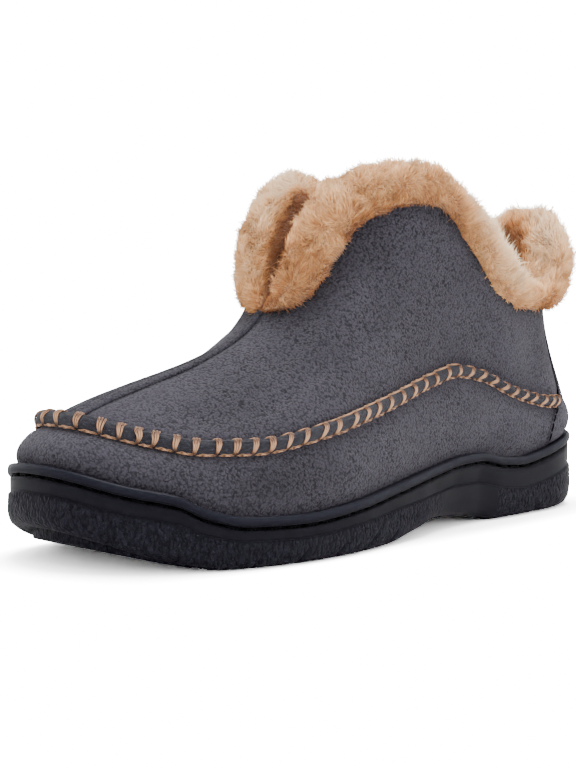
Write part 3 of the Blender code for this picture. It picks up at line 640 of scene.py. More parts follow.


# the short pile between the locks and inside the shoe; where shaded is set, the piece's u paints shade on it
def pileLook(name, dark, light, shaded=False):
    look = Look(name, Sheen_Weight=0.3, Sheen_Roughness=0.5, Specular_IOR_Level=0.05)
    look.shader.inputs["Sheen Tint"].default_value = (1.0, 0.85, 0.68, 1)
    place = look.place()
    curl = look.noise(place, 420, 4.0, 0.6, 1.2)
    cloud = look.noise(place, 60, 2.0, 0.5)
    colour = look.mix(look.between(curl + 0.4 * cloud, 0.42, 0.98), dark, light)
    # painted shade: darker where the piece's u is low
    if shaded:
        light = look.between(look.parts(look.place("UV"), 0), 0.0, 0.6)
        colour = look.mix(light, (0.10, 0.032, 0.012), colour)
    look.paint(colour, 0.85 + 0.1 * cloud)
    look.bump(curl, 0.0022, 1.0)
    return look


rollCloth = rollLook()
soleRubber = rubberLook()
tanThread = threadLook("tanThread", (0.055, 0.020, 0.009), (0.45, 0.245, 0.135), 2)
blackThread = threadLook("blackThread", (0.001, 0.001, 0.0015), (0.003, 0.003, 0.004), 4)
blackThread.shader.inputs["Specular IOR Level"].default_value = 0.03
blackThread.shader.inputs["Sheen Weight"].default_value = 0.0
fleeceLocks = lockLook()
fleecePile = pileLook("fleecePile", (0.42, 0.19, 0.075), (0.78, 0.42, 0.19), True)
liningPile = pileLook("liningPile", (0.30, 0.14, 0.06), (0.72, 0.42, 0.21))
print("slipper: materials made")

# camera of the photograph: metres and degrees, focal length in millimetres on 36 mm
camera = {"turn": 44.7245, "lift": 3.5505, "distance": 0.62, "aim": (-0.0003, -0.1279, 0.0627), "lens": 69.94}


# the camera stands at its distance from the aim, turned and lifted about it, and looks at it
def makeCamera():
    turn, lift = math.radians(camera["turn"]), math.radians(camera["lift"])
    back = np.array([math.sin(turn) * math.cos(lift), -math.cos(turn) * math.cos(lift), math.sin(lift)])
    lens = bpy.data.cameras.new("photoCamera")
    lens.lens, lens.sensor_width = camera["lens"], 36.0
    lens.clip_start, lens.clip_end = 0.01, 50.0
    holder = bpy.data.objects.new("photoCamera", lens)
    holder.location = np.array(camera["aim"]) + back * camera["distance"]
    holder.rotation_euler = (math.pi / 2 - lift, 0, turn)
    bpy.context.scene.collection.objects.link(holder)
    bpy.context.scene.camera = holder


makeCamera()

# the outsole: rows up each part of its side, notches between the lugs, slots of the tread
sole = {
    "columns": 1100,
    "sideRows": 20,
    "bandRows": 5,
    "ribRows": 9,
    "bottomRows": 34,
    "notchDepth": 0.0013,
    "notchWidth": 0.0011,
    "treadSlots": ((0.115, 8.0), (0.190, -8.0), (0.550, 10.0), (0.645, -6.0), (0.745, 6.0), (0.845, -10.0)),
    "treadDepth": 0.0024,
    "sipeDepth": 0.0007,
}
# turn of each notch in the lower edge, how far it leans per metre of height, its height in metres
notchTable = (
    (0.090, 2.0, 0.005), (0.160, 2.0, 0.004), (0.245, 3.0, 0.006), (0.300, 3.0, 0.006),
    (0.352, 4.0, 0.007), (0.405, 4.0, 0.008), (0.452, 4.0, 0.006), (0.795, -3.0, 0.008),
    (0.845, -3.0, 0.007), (0.893, -2.0, 0.006),
)


# the sole's profile at each turn: rounded lower side, band, groove, rib, inside of the cup; one (row,
# height, inset) for each ring, where row goes into the UV
def soleRows(turn):
    station = onOutline(turn)[4]
    top, bottom = rimAt(station), underside(station)
    bandTop = top - form["rib"] - form["groove"]
    bandFoot = bandTop - curveThrough(rimTable, 2, station) * form["band"]
    recess = curveThrough(rimTable, 3, station) * form["archRecess"]
    step = 0.22 * form["edgeRound"]
    rounding = curveThrough(undersideTable, 3, station) - 1
    rows = []
    for share in 0.5 - 0.5 * np.cos(math.pi * np.linspace(0, 1, sole["sideRows"]) ** 0.8):
        inset = curveThrough(lowerSideTable, 1, share) * form["edgeRound"] * (1 + rounding * (1 - share))
        rows.append((share, bottom + share * (bandFoot - bottom), inset + recess))
    for share in np.linspace(0.06, 1, sole["bandRows"]):
        rows.append((1 + share, bandFoot + share * (bandTop - bandFoot), step + recess * (1 - 0.65 * share)))
    for share, depth in ((0.1, 0.8), (0.35, 1.0), (0.7, 1.0), (0.95, 0.75)):
        rows.append((2 + 0.4 * share, bandTop + share * form["groove"], step + form["grooveDepth"] * depth))
    for angle in np.linspace(-0.5, 0.5, sole["ribRows"]) * math.pi:
        height = top - form["rib"] / 2 * (1 - math.sin(angle))
        rows.append((2.5 + (angle / math.pi + 0.5) / 2, height, step * (1.15 - 1.0 * math.cos(angle) ** 0.7)))
    for share in (0.35, 0.7, 1.0):
        rows.append((3 + share / 3, top - 0.0002 * share, step * 1.15 + share * (rimInset - step * 1.15)))
    rows.append((3.6, (top + cupFloor(station)) / 2, rimInset + 0 * station))
    rows.append((3.8, cupFloor(station), rimInset + 0 * station))
    return rows


# slots and wavy sipes of the tread: depth at each place of the underside
def treadDepth(x, y):
    depth = np.zeros_like(x)
    for station, slant in sole["treadSlots"]:
        centre = form["heelBehind"] - station * form["length"]
        off = (y - centre) * math.cos(math.radians(slant)) - x * math.sin(math.radians(slant))
        depth = np.maximum(depth, sole["treadDepth"] * np.clip(1.9 - np.abs(off) / 0.0011, 0, 1))
    wave = np.sin((y + 0.0022 * np.sin(x * 330)) * 2 * math.pi / 0.0062)
    # the toe's underside is plain
    toe = np.clip((y - form["heelBehind"] + 0.90 * form["length"]) / 0.008, 0, 1)
    return np.maximum(depth, sole["sipeDepth"] * np.clip(wave * 4 - 3, 0, 1)) * toe


# the outsole: rings of the profile stand on the outline moved in by their inset, the lower ones notched by
# bell curves; below and on the cup's floor rings shrink to the middle line
def makeOutsole():
    turn = turnsRound(sole["columns"])
    x, y, nx, ny, station = onOutline(turn)
    lowest = underside(station)
    rows, uv = [], []
    for row, height, inset in soleRows(turn):
        height = height + 0 * station
        if row <= 1:
            for at, lean, tall in notchTable:
                for where in (at, 2 - at):
                    slant = (1 if where < 1 else -1) * lean * 0.25
                    off = (turn - where) * halfRun - slant * (height - lowest)
                    fade = np.clip(1.2 - (height - lowest) / tall, 0, 1)
                    inset = inset + sole["notchDepth"] * np.exp(-((off / sole["notchWidth"]) ** 2)) * fade
        rows.append(np.stack([x - nx * inset, y - ny * inset, height], axis=-1))
        uv.append(np.stack([station, row + 0 * station], axis=-1))
    # the underside: rings that shrink from the lower edge to the middle line, cut by the tread
    edge = rows[0]
    middle = middleLine(station, edge[:, 1], 0.965, 0.055)
    bottom, bottomUv = [], []
    for share in np.linspace(0, 1, sole["bottomRows"] + 1)[:-1]:
        flat, at = drawnIn(edge[:, :2], middle, share)
        depth = treadDepth(flat[:, 0], flat[:, 1]) * (1 - np.clip((share - 0.985) / 0.015, 0, 1))
        bottom.append(np.concatenate([flat, (underside(at) + depth)[:, None]], axis=1))
        bottomUv.append(np.stack([at, share - 1 + 0 * at], axis=-1))
    floorRows, floorUv = [], []
    for share in (0.6, 0.2, 0.0):
        flat, at = drawnIn(rows[-1][:, :2], middle, share)
        floorRows.append(np.concatenate([flat, cupFloor(at)[:, None]], axis=1))
        floorUv.append(np.stack([at, 3.9 + 0 * at], axis=-1))
    every = np.array(bottom + rows + floorRows)
    every[:, :, 2] = np.maximum(every[:, :, 2], 0.0)
    faces = gridFaces(len(every), sole["columns"])
    uv = np.array(bottomUv + uv + floorUv)
    piece = newPiece("outsoleShell", every, [faces], soleRubber, uv)
    closePoles(piece)
    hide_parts("outsole")


# merges the points that fall together where rings shrink to a line or a pole
def closePoles(piece):
    held = bmesh.new()
    held.from_mesh(piece.data)
    bmesh.ops.remove_doubles(held, verts=held.verts, dist=2e-6)
    held.to_mesh(piece.data)
    held.free()
    piece.data.update()


makeOutsole()

# the upper: creases, each a soft trough (or a ridge where its depth is negative)
upper = {
    "columns": 520,
    "wallRows": 34,
    "panelRows": 92,
    "innerRows": 26,
    "seamTuck": 0.0008,  # depth, distance from the seam, breadth
    "seamReach": 0.0032,
    "seamBreadth": 0.0022,
    "valley": 0.0005,  # beside the vamp's seam band
    "valleyOff": 0.0006,
    "valleyWidth": 0.0018,
    "wobble": 0.00022,
    # painted shadow that the fleece casts on the suede's top edge
    "fleeceShadowPaint": 0.28,  # how much the fleece darkens the suede's edge
}
# turn, level, reach along in turns, reach up in levels, slant, depth in metres
creaseTable = (
    (0.330, 1.34, 0.115, 0.060, 0.9, 0.0011), (0.300, 1.50, 0.100, 0.060, 0.9, -0.0007),
    (0.470, 1.22, 0.100, 0.070, 0.5, 0.0007), (0.640, 1.55, 0.055, 0.220, 0.0, 0.0009),
    (0.740, 1.45, 0.045, 0.260, 0.0, -0.0007), (0.800, 1.42, 0.030, 0.300, 0.0, 0.0008),
    (0.250, 0.55, 0.110, 0.200, 0.0, 0.0006), (0.560, 0.60, 0.080, 0.220, 0.0, 0.0007),
    (0.120, 0.62, 0.060, 0.240, 0.0, -0.0006), (1.690, 1.36, 0.110, 0.060, -0.9, 0.0011),
    (1.550, 1.24, 0.100, 0.070, -0.5, 0.0007), (1.370, 1.52, 0.055, 0.220, 0.0, 0.0009),
    (1.260, 1.45, 0.045, 0.260, 0.0, -0.0006), (1.740, 0.55, 0.110, 0.200, 0.0, 0.0006),
    (1.450, 0.60, 0.080, 0.220, 0.0, 0.0007),
)


# metres for each unit of turn along the vamp's middle, at each level
def metresAtFront(level):
    step = 0.01 + 0 * level
    return np.linalg.norm(upperPoint(step, level) - upperPoint(-step, level), axis=-1) / 0.02


# depth at each place: the sum of bell curves along and up, plus the tuck that the stitches pull beside the
# seam
def creaseDepth(turn, level, points):
    depth = np.zeros(np.broadcast(turn, level).shape)
    for at, high, reach, tall, slant, deep in creaseTable:
        up = level - high - slant * (turn - at)
        depth = depth + deep * np.exp(-(((turn - at) / reach) ** 2) - (up / tall) ** 2)
    seam = upperPoint(turn[:1] + 0 * turn, 1.0 + 0 * level)
    off = np.linalg.norm(points - seam, axis=-1)
    depth = depth + upper["seamTuck"] * np.exp(-(((off - upper["seamReach"]) / upper["seamBreadth"]) ** 2))
    # the valley that the vamp's seam pulls beside its band
    beside = sideAndShare(turn)[1] * metresAtFront(level) - curveThrough(seamTable, 1, level)
    beside = beside - upper["valleyOff"]
    depth = depth + upper["valley"] * np.exp(-((beside / upper["valleyWidth"]) ** 2)) * (level > 1.0)
    fade = np.clip((level - 0.02) / 0.18, 0, 1) * np.clip((1.99 - level) / 0.08, 0, 1)
    wobble = softNoise(points, 0.030, 5) * upper["wobble"]
    return (depth + wobble) * fade


# painted light and shade on the suede, partly the nap's own tone: turn, level, reach along, reach up,
# change of shade, change of contrast
napAndPaintedLightTable = (
    (0.000, 0.60, 0.050, 0.35, 0.16, -0.35), (0.050, 1.25, 0.070, 0.20, 0.10, -0.30),
    (0.220, 1.45, 0.080, 0.25, -0.12, 0.05), (0.080, 0.50, 0.060, 0.30, 0.06, 0.00),
    (0.280, 0.45, 0.110, 0.32, -0.34, 0.05), (0.400, 0.75, 0.060, 0.20, 0.06, 0.00),
    (0.500, 0.50, 0.090, 0.35, 0.02, 0.05), (0.540, 1.34, 0.080, 0.16, -0.10, 0.05),
    (0.420, 1.60, 0.070, 0.14, -0.06, 0.15), (0.480, 1.85, 0.090, 0.12, 0.02, 0.20),
    (0.740, 1.50, 0.060, 0.30, 0.06, -0.20), (0.760, 0.50, 0.070, 0.40, 0.10, -0.15),
    (0.880, 0.80, 0.080, 0.70, 0.10, -0.10), (0.640, 1.10, 0.050, 0.12, -0.08, 0.00),
)


# painted light and shade with the nap's tone and contrast at each place, alike on both sides of the shoe
def napAndPaintedLightUv(turn, level, points, base=0.0):
    shade = 1 + base + 0.05 * softNoise(points, 0.030, 21) + 0.02 * softNoise(points, 0.010, 22)
    contrast = 0.82 + 0.10 * softNoise(points, 0.020, 23)
    # painted shadow: the suede darkens just under the fleece
    shade = shade - upper["fleeceShadowPaint"] * np.exp(-(((1.97 - level) / 0.06) ** 2))
    share = sideAndShare(turn)[1]
    for at, high, reach, tall, lift, more in napAndPaintedLightTable:
        weight = np.exp(-(((share - at) / reach) ** 2) - ((level - high) / tall) ** 2)
        shade, contrast = shade + lift * weight, contrast + more * weight
    return np.stack([shade, np.clip(contrast, 0.1, 1)], axis=-1)


# the upper's points pushed in along the normal by the depth of the creases
def dressedUpper(turn, level):
    points = upperPoint(turn, level)
    return points - upperNormal(turn, level) * creaseDepth(turn, level, points)[..., None]


# a closed shell: the dressed outside, a rounded edge, and the inside one wall further in along the normal
def makeUpper():
    turn = turnsRound(upper["columns"])
    up = np.linspace(0, 1, upper["panelRows"])
    level = np.concatenate([[-1.0, -0.5], np.linspace(0, 1, upper["wallRows"]), 1 + up[1:] ** 1.15])
    turnGrid, levelGrid = everyTurnAndLevel(turn, level)
    outer = dressedUpper(turnGrid, levelGrid)
    uv = napAndPaintedLightUv(turnGrid, levelGrid, outer)
    turnGrid, levelGrid = everyTurnAndLevel(turn, np.linspace(2, -1, upper["innerRows"]))
    inner = upperPoint(turnGrid, levelGrid) - upperNormal(turnGrid, levelGrid) * form["wall"]
    inner[-1, :, 2] = outer[0, :, 2]
    rounded = outer[-1] * 0.5 + inner[0] * 0.5
    rounded[:, 2] += 0.0006
    every = np.concatenate([outer, rounded[None], inner])
    faces = gridFaces(len(every), upper["columns"], closedUp=True)
    uv = np.concatenate([uv, np.repeat(uv[-1:], len(every) - len(uv), axis=0)])
    piece = newPiece("suedeUpper", every, [faces], suede, uv)
    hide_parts("upper")


makeUpper()

# the rolled seam and the threads that whip it: sizes in metres
roll = {
    "radius": 0.0034,
    "rise": 0.0046,
    "end": 0.8560,
    "feet": 0.95,  # where its feet stand and how broad it bulges, as shares of its radius; length round it
    "breadth": 1.12,
    "arc": 3.6,
    "columns": 1100,
    "pinch": 0.13,
    "pinchWidth": 0.0012,
    "wrinkle": 0.00022,
}
# turn of each whip stitch on the outer side, heel end last; the inner side mirrors those beyond 0.09
stitchTable = (
    -0.063, -0.028, 0.005, 0.043, 0.078, 0.103, 0.126, 0.1456, 0.170, 0.1934, 0.2208, 0.243, 0.2664,
    0.2888, 0.3124, 0.3358, 0.3635, 0.3852, 0.4151, 0.4383, 0.4614, 0.4857, 0.5126, 0.5379, 0.5645,
    0.5884, 0.6147, 0.6409, 0.6695, 0.6944, 0.7197, 0.7418, 0.7641, 0.7844, 0.8061, 0.827, 0.845, 0.859,
)
# share round the seam, then five points of a stitch's path from its foot to its head: places back towards
# the toe as a share of the pitch, and places round the roll
stitchShapeTable = (
    (0.00, 0.04, 0.02, 0.04, 0.25, 0.08, 0.50, 0.14, 0.76, 0.22, 0.975),
    (0.21, 0.04, 0.02, 0.03, 0.25, 0.06, 0.50, 0.14, 0.76, 0.26, 0.975),
    (0.29, 0.12, 0.02, 0.03, 0.22, -0.01, 0.52, 0.08, 0.80, 0.42, 0.985),
    (0.36, 0.13, 0.02, 0.02, 0.22, -0.06, 0.55, 0.00, 0.86, 0.50, 0.990),
    (0.42, 0.15, 0.02, 0.06, 0.25, 0.00, 0.58, 0.02, 0.89, 0.80, 0.995),
    (0.60, 0.20, 0.02, 0.09, 0.25, 0.02, 0.58, 0.02, 0.89, 0.72, 0.995),
    (0.68, 0.72, 0.02, 0.50, 0.22, 0.22, 0.52, 0.01, 0.85, 0.25, 0.990),
    (1.00, 0.75, 0.02, 0.52, 0.22, 0.24, 0.52, 0.01, 0.85, 0.25, 0.990),
)
# share round the seam, radius of a strand, width of the band of strands at its foot and at its head
strandTable = (
    (0.00, 0.00038, 0.0014, 0.0025), (0.20, 0.00037, 0.0013, 0.0022), (0.36, 0.00036, 0.0012, 0.0016),
    (0.45, 0.00036, 0.0012, 0.0013), (1.00, 0.00031, 0.0010, 0.0011),
)
# the stitches were read along the seam line; the threads stand out from it by the roll's height, so they
# sit further back: share round the seam, how far back in turns
backTable = (
    (0.00, 0.002), (0.10, 0.004), (0.20, 0.006), (0.30, 0.009), (0.38, 0.013), (0.50, 0.016),
    (0.60, 0.016), (0.70, 0.012), (0.80, 0.010), (0.86, 0.007),
)
outerTurns = np.array(stitchTable)
outerTurns = outerTurns - columnsAt(backTable, np.abs(outerTurns), [1])[0]
stitches = np.sort(np.concatenate([outerTurns, -outerTurns[outerTurns > 0.09]]))


# the roll's section at each turn: two feet on wall and vamp, and a half oval over them; angle 0 is the wall
# side
def rollFrame(turn):
    size = curveThrough(rollTable, 1, np.abs(turn))
    seam = upperPoint(turn, 1.0)
    below = np.linalg.norm(seam - upperPoint(turn, 0.9), axis=-1) / 0.1
    above = np.linalg.norm(seam - upperPoint(turn, 1.1), axis=-1) / 0.1
    feet = []
    for share in (-roll["feet"], roll["feet"]):
        level = 1 + share * roll["radius"] * size / np.where(share < 0, below, above)
        feet.append(upperPoint(turn, level) + upperNormal(turn, level) * form["gap"])
    outward = unit(np.cross(np.gradient(seam, axis=0), feet[1] - feet[0]))
    return seam, (feet[0] + feet[1]) / 2, (feet[1] - feet[0]) / 2, outward * roll["rise"] * size[:, None]


denseTurn = np.linspace(-roll["end"] - 0.006, roll["end"] + 0.006, 3000)
denseFrame = rollFrame(denseTurn)
denseRun = np.concatenate([[0], np.cumsum(np.linalg.norm(np.diff(denseFrame[0], axis=0), axis=-1))])
stitchRun = np.interp(stitches, denseTurn, denseRun)
rollArc = roll["arc"] * roll["radius"]  # length round the roll's outside, at full size


# a place on the roll: its middle, less half its breadth times the cosine, plus its rise times the sine; the
# lift lengthens both
def onRoll(run, angle, lift):
    middle, half, rise = (
        np.stack([np.interp(run, denseRun, part[:, k]) for k in range(3)], axis=-1)
        for part in denseFrame[1:]
    )
    across = roll["breadth"] * half * (1 + lift / np.linalg.norm(half, axis=-1, keepdims=True))
    rise = rise * (1 + lift / np.linalg.norm(rise, axis=-1, keepdims=True))
    return middle - across * np.cos(angle)[..., None] + rise * np.sin(angle)[..., None]


# rings of the roll's section along the seam, narrowed by a bell curve at each stitch and wrinkled by noise,
# with the ends drawn in
def makeRoll():
    turn = np.linspace(-roll["end"], roll["end"], roll["columns"])
    seam, middle, half, rise = rollFrame(turn)
    outward = unit(rise)
    run = np.interp(turn, denseTurn, denseRun)
    nearest = np.min(np.abs(run[:, None] - stitchRun[None, :]), axis=1)
    pinch = 1 - roll["pinch"] * np.exp(-((nearest / roll["pinchWidth"]) ** 2))
    pinch = pinch + 0.03 * softNoise(seam, 0.012, 3)
    rings = []
    for share in np.linspace(roll["feet"], -roll["feet"], 7):
        rings.append(middle + half * share - outward * 0.0004 * (1 - share**2))
    for angle in np.linspace(0.04, 0.96, 25) * math.pi:
        # long wrinkles: noise that changes slowly along the roll and fast around it
        place = np.stack([run * 0.22, angle * 0.0035 + 0 * run, 0 * run], axis=-1)
        wrinkle = roll["wrinkle"] * softNoise(place, 0.0021, 8) * math.sin(angle)
        across = -roll["breadth"] * half * math.cos(angle) * (0.5 + 0.5 * pinch)[:, None]
        rings.append(middle + across + rise * math.sin(angle) * pinch[:, None] + outward * wrinkle[:, None])
    ends = np.clip((np.minimum(run - run[0], run[-1] - run)) / 0.0018, 0.05, 1) ** 0.5
    every = np.array(rings).transpose(1, 0, 2)
    every = middle[:, None] + (every - middle[:, None]) * ends[:, None, None]
    count = every.shape[1]
    faces = gridFaces(len(every), count)[:, ::-1]
    j = np.arange(count)
    last = (len(every) - 1) * count
    poles = len(every) * count
    caps = [
        np.stack([j, (j + 1) % count, np.full(count, poles)], axis=-1),
        np.stack([last + (j + 1) % count, last + j, np.full(count, poles + 1)], axis=-1),
    ]
    uv = np.stack(np.broadcast_arrays(run[:, None] * 1000, np.arange(count)[None, :] * 0.42), axis=-1)
    points = np.concatenate([every.reshape(-1, 3), middle[:1], middle[-1:]])
    uv = np.concatenate([uv.reshape(-1, 2), [[0, 0], [run[-1] * 1000, 0]]])
    piece = newPiece("mocRoll", points, [faces, *caps], rollCloth, uv)
    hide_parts("moccasin_roll")


# a cubic through control rings or points along the first axis, each gap cut into equal steps; closed runs
# on to the first again
def throughRings(rings, between, closed=True):
    if closed:
        rings = np.concatenate([rings[-1:], rings, rings[:2]])
    else:
        rings = np.concatenate([2 * rings[:1] - rings[1:2], rings, 2 * rings[-1:] - rings[-2:-1]])
    before, here, after, beyond = rings[:-3], rings[1:-2], rings[2:-1], rings[3:]
    steps = []
    for t in np.arange(between) / between:
        first = here + 0.5 * t * (after - before)
        second = before - 2.5 * here + 2 * after - 0.5 * beyond
        third = 1.5 * (here - after) + 0.5 * (beyond - before)
        steps.append(first + t * t * second + t**3 * third)
    path = np.array(steps).swapaxes(0, 1).reshape(-1, *rings.shape[1:])
    return path if closed else np.concatenate([path, rings[-2:-1]])


# whip stitches: strands side by side over the roll, on paths drawn flat (along the seam, round the roll) in
# metres
def makeWhipStitches():
    share, side = np.abs(stitches), np.sign(stitches + 0.03)
    gaps = np.diff(stitchRun)
    pitch = np.where(side > 0, np.concatenate([gaps[:1], gaps]), np.concatenate([gaps, gaps[-1:]]))
    size = curveThrough(rollTable, 1, share)
    control = np.array(columnsAt(stitchShapeTable, share, range(1, 11)))
    control = control.reshape(5, 2, -1).transpose(0, 2, 1)
    draw = np.random.default_rng(17)
    control = control + draw.normal(size=control.shape) * np.array([0.035, 0.008])
    flat = throughRings(control, 5, closed=False)
    flat = np.stack([stitchRun - side * pitch * flat[..., 0], flat[..., 1] * rollArc * size], axis=-1)
    t = np.linspace(0, 1, len(flat))[:, None]
    way = unit(np.gradient(flat, axis=0))
    radius, foot, head = columnsAt(strandTable, share, (1, 2, 3))
    spread = 0.45 + 0.55 * np.sin(math.pi * np.clip(t, 0.08, 0.92))
    paths = []
    for k in (-1, 0, 1):
        off = k * (foot + (head - foot) * np.clip(t * 1.2, 0, 1)) / 2 * spread
        off = off + draw.normal(size=share.shape) * 0.00008
        moved = flat + np.stack([way[..., 1], -way[..., 0]], axis=-1) * off[..., None]
        angle = math.pi * moved[..., 1] / (rollArc * size)
        lift = 0.00022 + 0.00012 * (k == 0) + 0 * angle
        paths.append(onRoll(moved[..., 0], angle, lift[..., None]).swapaxes(0, 1))
    paths = np.concatenate(paths)
    facing = unit(paths - paths.mean(axis=1, keepdims=True))
    thick = np.tile(radius, 3)[:, None] * (0.55 + 0.5 * np.sin(math.pi * t.T) ** 0.6)
    newThreads("whipStitches", paths, thick, facing, tanThread)


# running strands: place round the roll, first and last share round the seam, share of the pitch, radius
runTable = ((0.0, 0.0, 1.0, 0.90, 0.00042), (0.995, 0.35, 0.64, 0.84, 0.00040))


# pairs of strands from stitch to stitch that turn round each other by a sine and a cosine: all along the
# roll's lower side, and over the instep on its upper side too
def makeRunningStitches():
    t = np.linspace(0, 1, 11)
    paths, thick = [], []
    for angleAt, low, high, reach, radius in runTable:
        first, second = stitchRun[:-1], stitchRun[1:]
        centre = np.abs(stitches[:-1] + stitches[1:]) / 2
        chosen = (centre >= low) & (centre <= high)
        middle, half = ((second + first) / 2)[chosen], ((second - first) / 2)[chosen]
        run = middle[:, None] + half[:, None] * (2 * t - 1)[None, :] * reach
        inward = 1 if angleAt < 0.5 else -1
        for turned in (0, math.pi):
            twist = np.cos(turned + 2.2 * math.pi * t)
            angle = math.pi * (angleAt + inward * (0.018 * np.sin(math.pi * t) + 0.022 * twist)) + 0 * run
            lift = 0.00038 + 0.00016 * np.sin(turned + 2.2 * math.pi * t) + 0 * run
            paths.append(onRoll(run, angle, lift[..., None]))
            thick.append(np.full(len(run), radius))
    paths = np.concatenate(paths)
    taper = 0.15 + 0.85 * np.sin(math.pi * t)
    radius = np.concatenate(thick)[:, None] * taper
    newThreads("runningStitches", paths, radius, (0.0, 0.0, 1.0), tanThread)


makeRoll()
makeWhipStitches()
makeRunningStitches()

# sewn-on panels: sizes in metres
counter = {
    "thickness": 0.0010,
    "stitch": 0.0009,  # its stitches: distance from the edge, pitch, their length's share of it, radius
    "pitch": 0.0046,
    "share": 0.78,
    "radius": 0.00032,
    # painted light: a small lift of the counter's suede shade
    "shade": 0.02,
}
vampSeam = {"thickness": 0.0010, "furrow": 0.0003, "ragged": 0.00022}


# a panel's grid: the dressed upper lifted by its thickness, rounded off at the rim; its back lies a gap off
# the upper
def makePanel(name, turn, level, rise, look, node, base=0.0):
    under, normal = upperPoint(turn, level), upperNormal(turn, level)
    top = under + normal * (form["gap"] + rise)[..., None]
    low = under + normal * form["gap"] * 0.5
    rows, columns = turn.shape
    total = rows * columns
    front = gridFaces(rows, columns, closedAcross=False)
    index = np.arange(total).reshape(rows, columns)
    edge = np.concatenate([index[0], index[1:, -1], index[-1, -2::-1], index[-2:0:-1, 0]])
    after = np.roll(edge, -1)
    rim = np.stack([total + edge, total + after, after, edge], axis=-1)
    points = np.concatenate([top.reshape(-1, 3), low.reshape(-1, 3)])
    uv = np.tile(napAndPaintedLightUv(turn, level, under, base).reshape(-1, 2), (2, 1))
    piece = newPiece(name, points, [front, front[:, ::-1] + total, rim], look, uv)
    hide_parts(node)


# the heel counter: as broad as its table, its rim rising as a square root; stitches stand at even distances
# along both edges below the roll
def makeCounter():
    level = np.linspace(0.05, 1.985, 110)
    width = curveThrough(counterTable, 1, level)
    across = np.sin(np.linspace(-0.5, 0.5, 61) * math.pi)
    turn = 1 + width[:, None] * across[None, :]
    rounded = np.clip((1 - np.abs(across)) / 0.06, 0, 1) ** 0.5
    rise = counter["thickness"] * (0.05 + 0.95 * rounded)[None, :] + 0 * turn
    levelGrid = level[:, None] + 0 * turn
    makePanel("heelCounter", turn, levelGrid, rise, suede, "heel_counter", counter["shade"])
    # dark seam stitches along each edge below the roll
    paths = []
    t = np.linspace(-0.5, 0.5, 6)
    for side in (1, -1):
        fine = np.linspace(0.06, 0.90, 400)
        edge = 1 + side * (curveThrough(counterTable, 1, fine) - counter["stitch"] / halfRun)
        line = upperPoint(edge, fine)
        run = np.concatenate([[0], np.cumsum(np.linalg.norm(np.diff(line, axis=0), axis=-1))])
        marks = np.arange(counter["pitch"] * 0.6, run[-1] - counter["pitch"] * 0.5, counter["pitch"])
        place = marks[:, None] + t[None, :] * counter["pitch"] * counter["share"]
        high = np.interp(place, run, fine)
        where = np.interp(high, fine, edge)
        lift = form["gap"] + counter["thickness"] * 0.7 + 0.0002 * np.cos(math.pi * t)[None, :, None]
        paths.append(upperPoint(where, high) + upperNormal(where, high) * lift)
    paths = np.concatenate(paths)
    newThreads("counterStitches", paths, counter["radius"], (1.0, 0.0, 0.0), blackThread)


# the seam band: a dome to the power 0.7 with a furrow shaped like a bell curve, and ragged puckers that
# fade with the distance from the roll
def makeVampSeam():
    level = np.linspace(1.02, 1.995, 140)
    half = curveThrough(seamTable, 1, level) / metresAtFront(level)
    across = np.linspace(-1, 1, 41)
    turn = half[:, None] * across[None, :]
    levelGrid = level[:, None] + 0 * turn
    dome = (1 - across**2) ** 0.7
    furrow = vampSeam["furrow"] * np.exp(-((across / 0.16) ** 2))
    # ragged puckers next to the roll
    ragged = softNoise(upperPoint(turn, levelGrid), 0.0042, 31) * vampSeam["ragged"]
    ragged = ragged * np.exp(-((levelGrid - 1.10) / 0.22))
    rise = vampSeam["thickness"] * dome[None, :] - furrow[None, :] + ragged * (1 - across**2)[None, :]
    rise = rise - (form["gap"] + 0.0002) * np.exp(-((1 - np.abs(across)) / 0.06))[None, :]
    makePanel("vampSeamBand", turn, levelGrid, rise, suedeCombed, "vamp_seam")


makeCounter()
makeVampSeam()

# black stitches that lie in the sole's groove
grooveThread = {"pitch": 0.0086, "share": 0.74, "radius": 0.00055, "out": 0.0009, "bow": 0.0003}


# threads at even distances round the outline, in the groove's depth, each bowed out by a cosine
def makeGrooveStitches():
    count = int(2 * halfRun / grooveThread["pitch"])
    t = np.linspace(-0.5, 0.5, 7)
    turn = (np.arange(count)[:, None] + t[None, :] * grooveThread["share"]) * 2 / count
    x, y, nx, ny, station = onOutline(turn)
    inset = 0.22 * form["edgeRound"] + form["grooveDepth"] - grooveThread["out"]
    inset = inset - grooveThread["bow"] * np.cos(math.pi * t)[None, :]
    height = rimAt(station) - form["rib"] - form["groove"] * 0.5
    paths = np.stack([x - nx * inset, y - ny * inset, height], axis=-1)
    newThreads("grooveStitches", paths, grooveThread["radius"], (0.0, 0.0, 1.0), blackThread)


makeGrooveStitches()

# the fleece cuff: its body in the CAD solid's place, then locks of pile over it
cuff = {
    "columns": 480,
    "between": 6,
    "lump": 0.0007,
    "lumpWave": 0.010,
    "locks": 19500,
    "lockLength": (0.0026, 0.0046),
    "lockWidth": 0.00016,
    "clumpWave": 0.0052,
    "clumpPull": 0.0014,
    "batches": 5,
    # the locks' tone with painted light and shade: how much each place adds or takes away
    "toneAndPaintedLight": {
        "top": 0.24,
        "band": 0.40,
        "rear": 0.20,
        "inner": 0.22,
        "clump": 0.07,
        "cloud": 0.04,
        "spread": 0.09,
        "fold": 0.70,
        "inside": 0.30,
        "insideRear": 0.25,
        "foot": 0.12,
    },
}
tuckLevels = (1.72, 1.86, 1.98)
fleeceOuter = ((0.0, 0.35), (0.16, 0.80), (0.42, 1.0), (0.70, 0.90), (0.90, 0.50))
fleeceInner = ((1.0, 0.25), (0.90, 0.80), (0.50, 1.0), (0.05, 1.0))


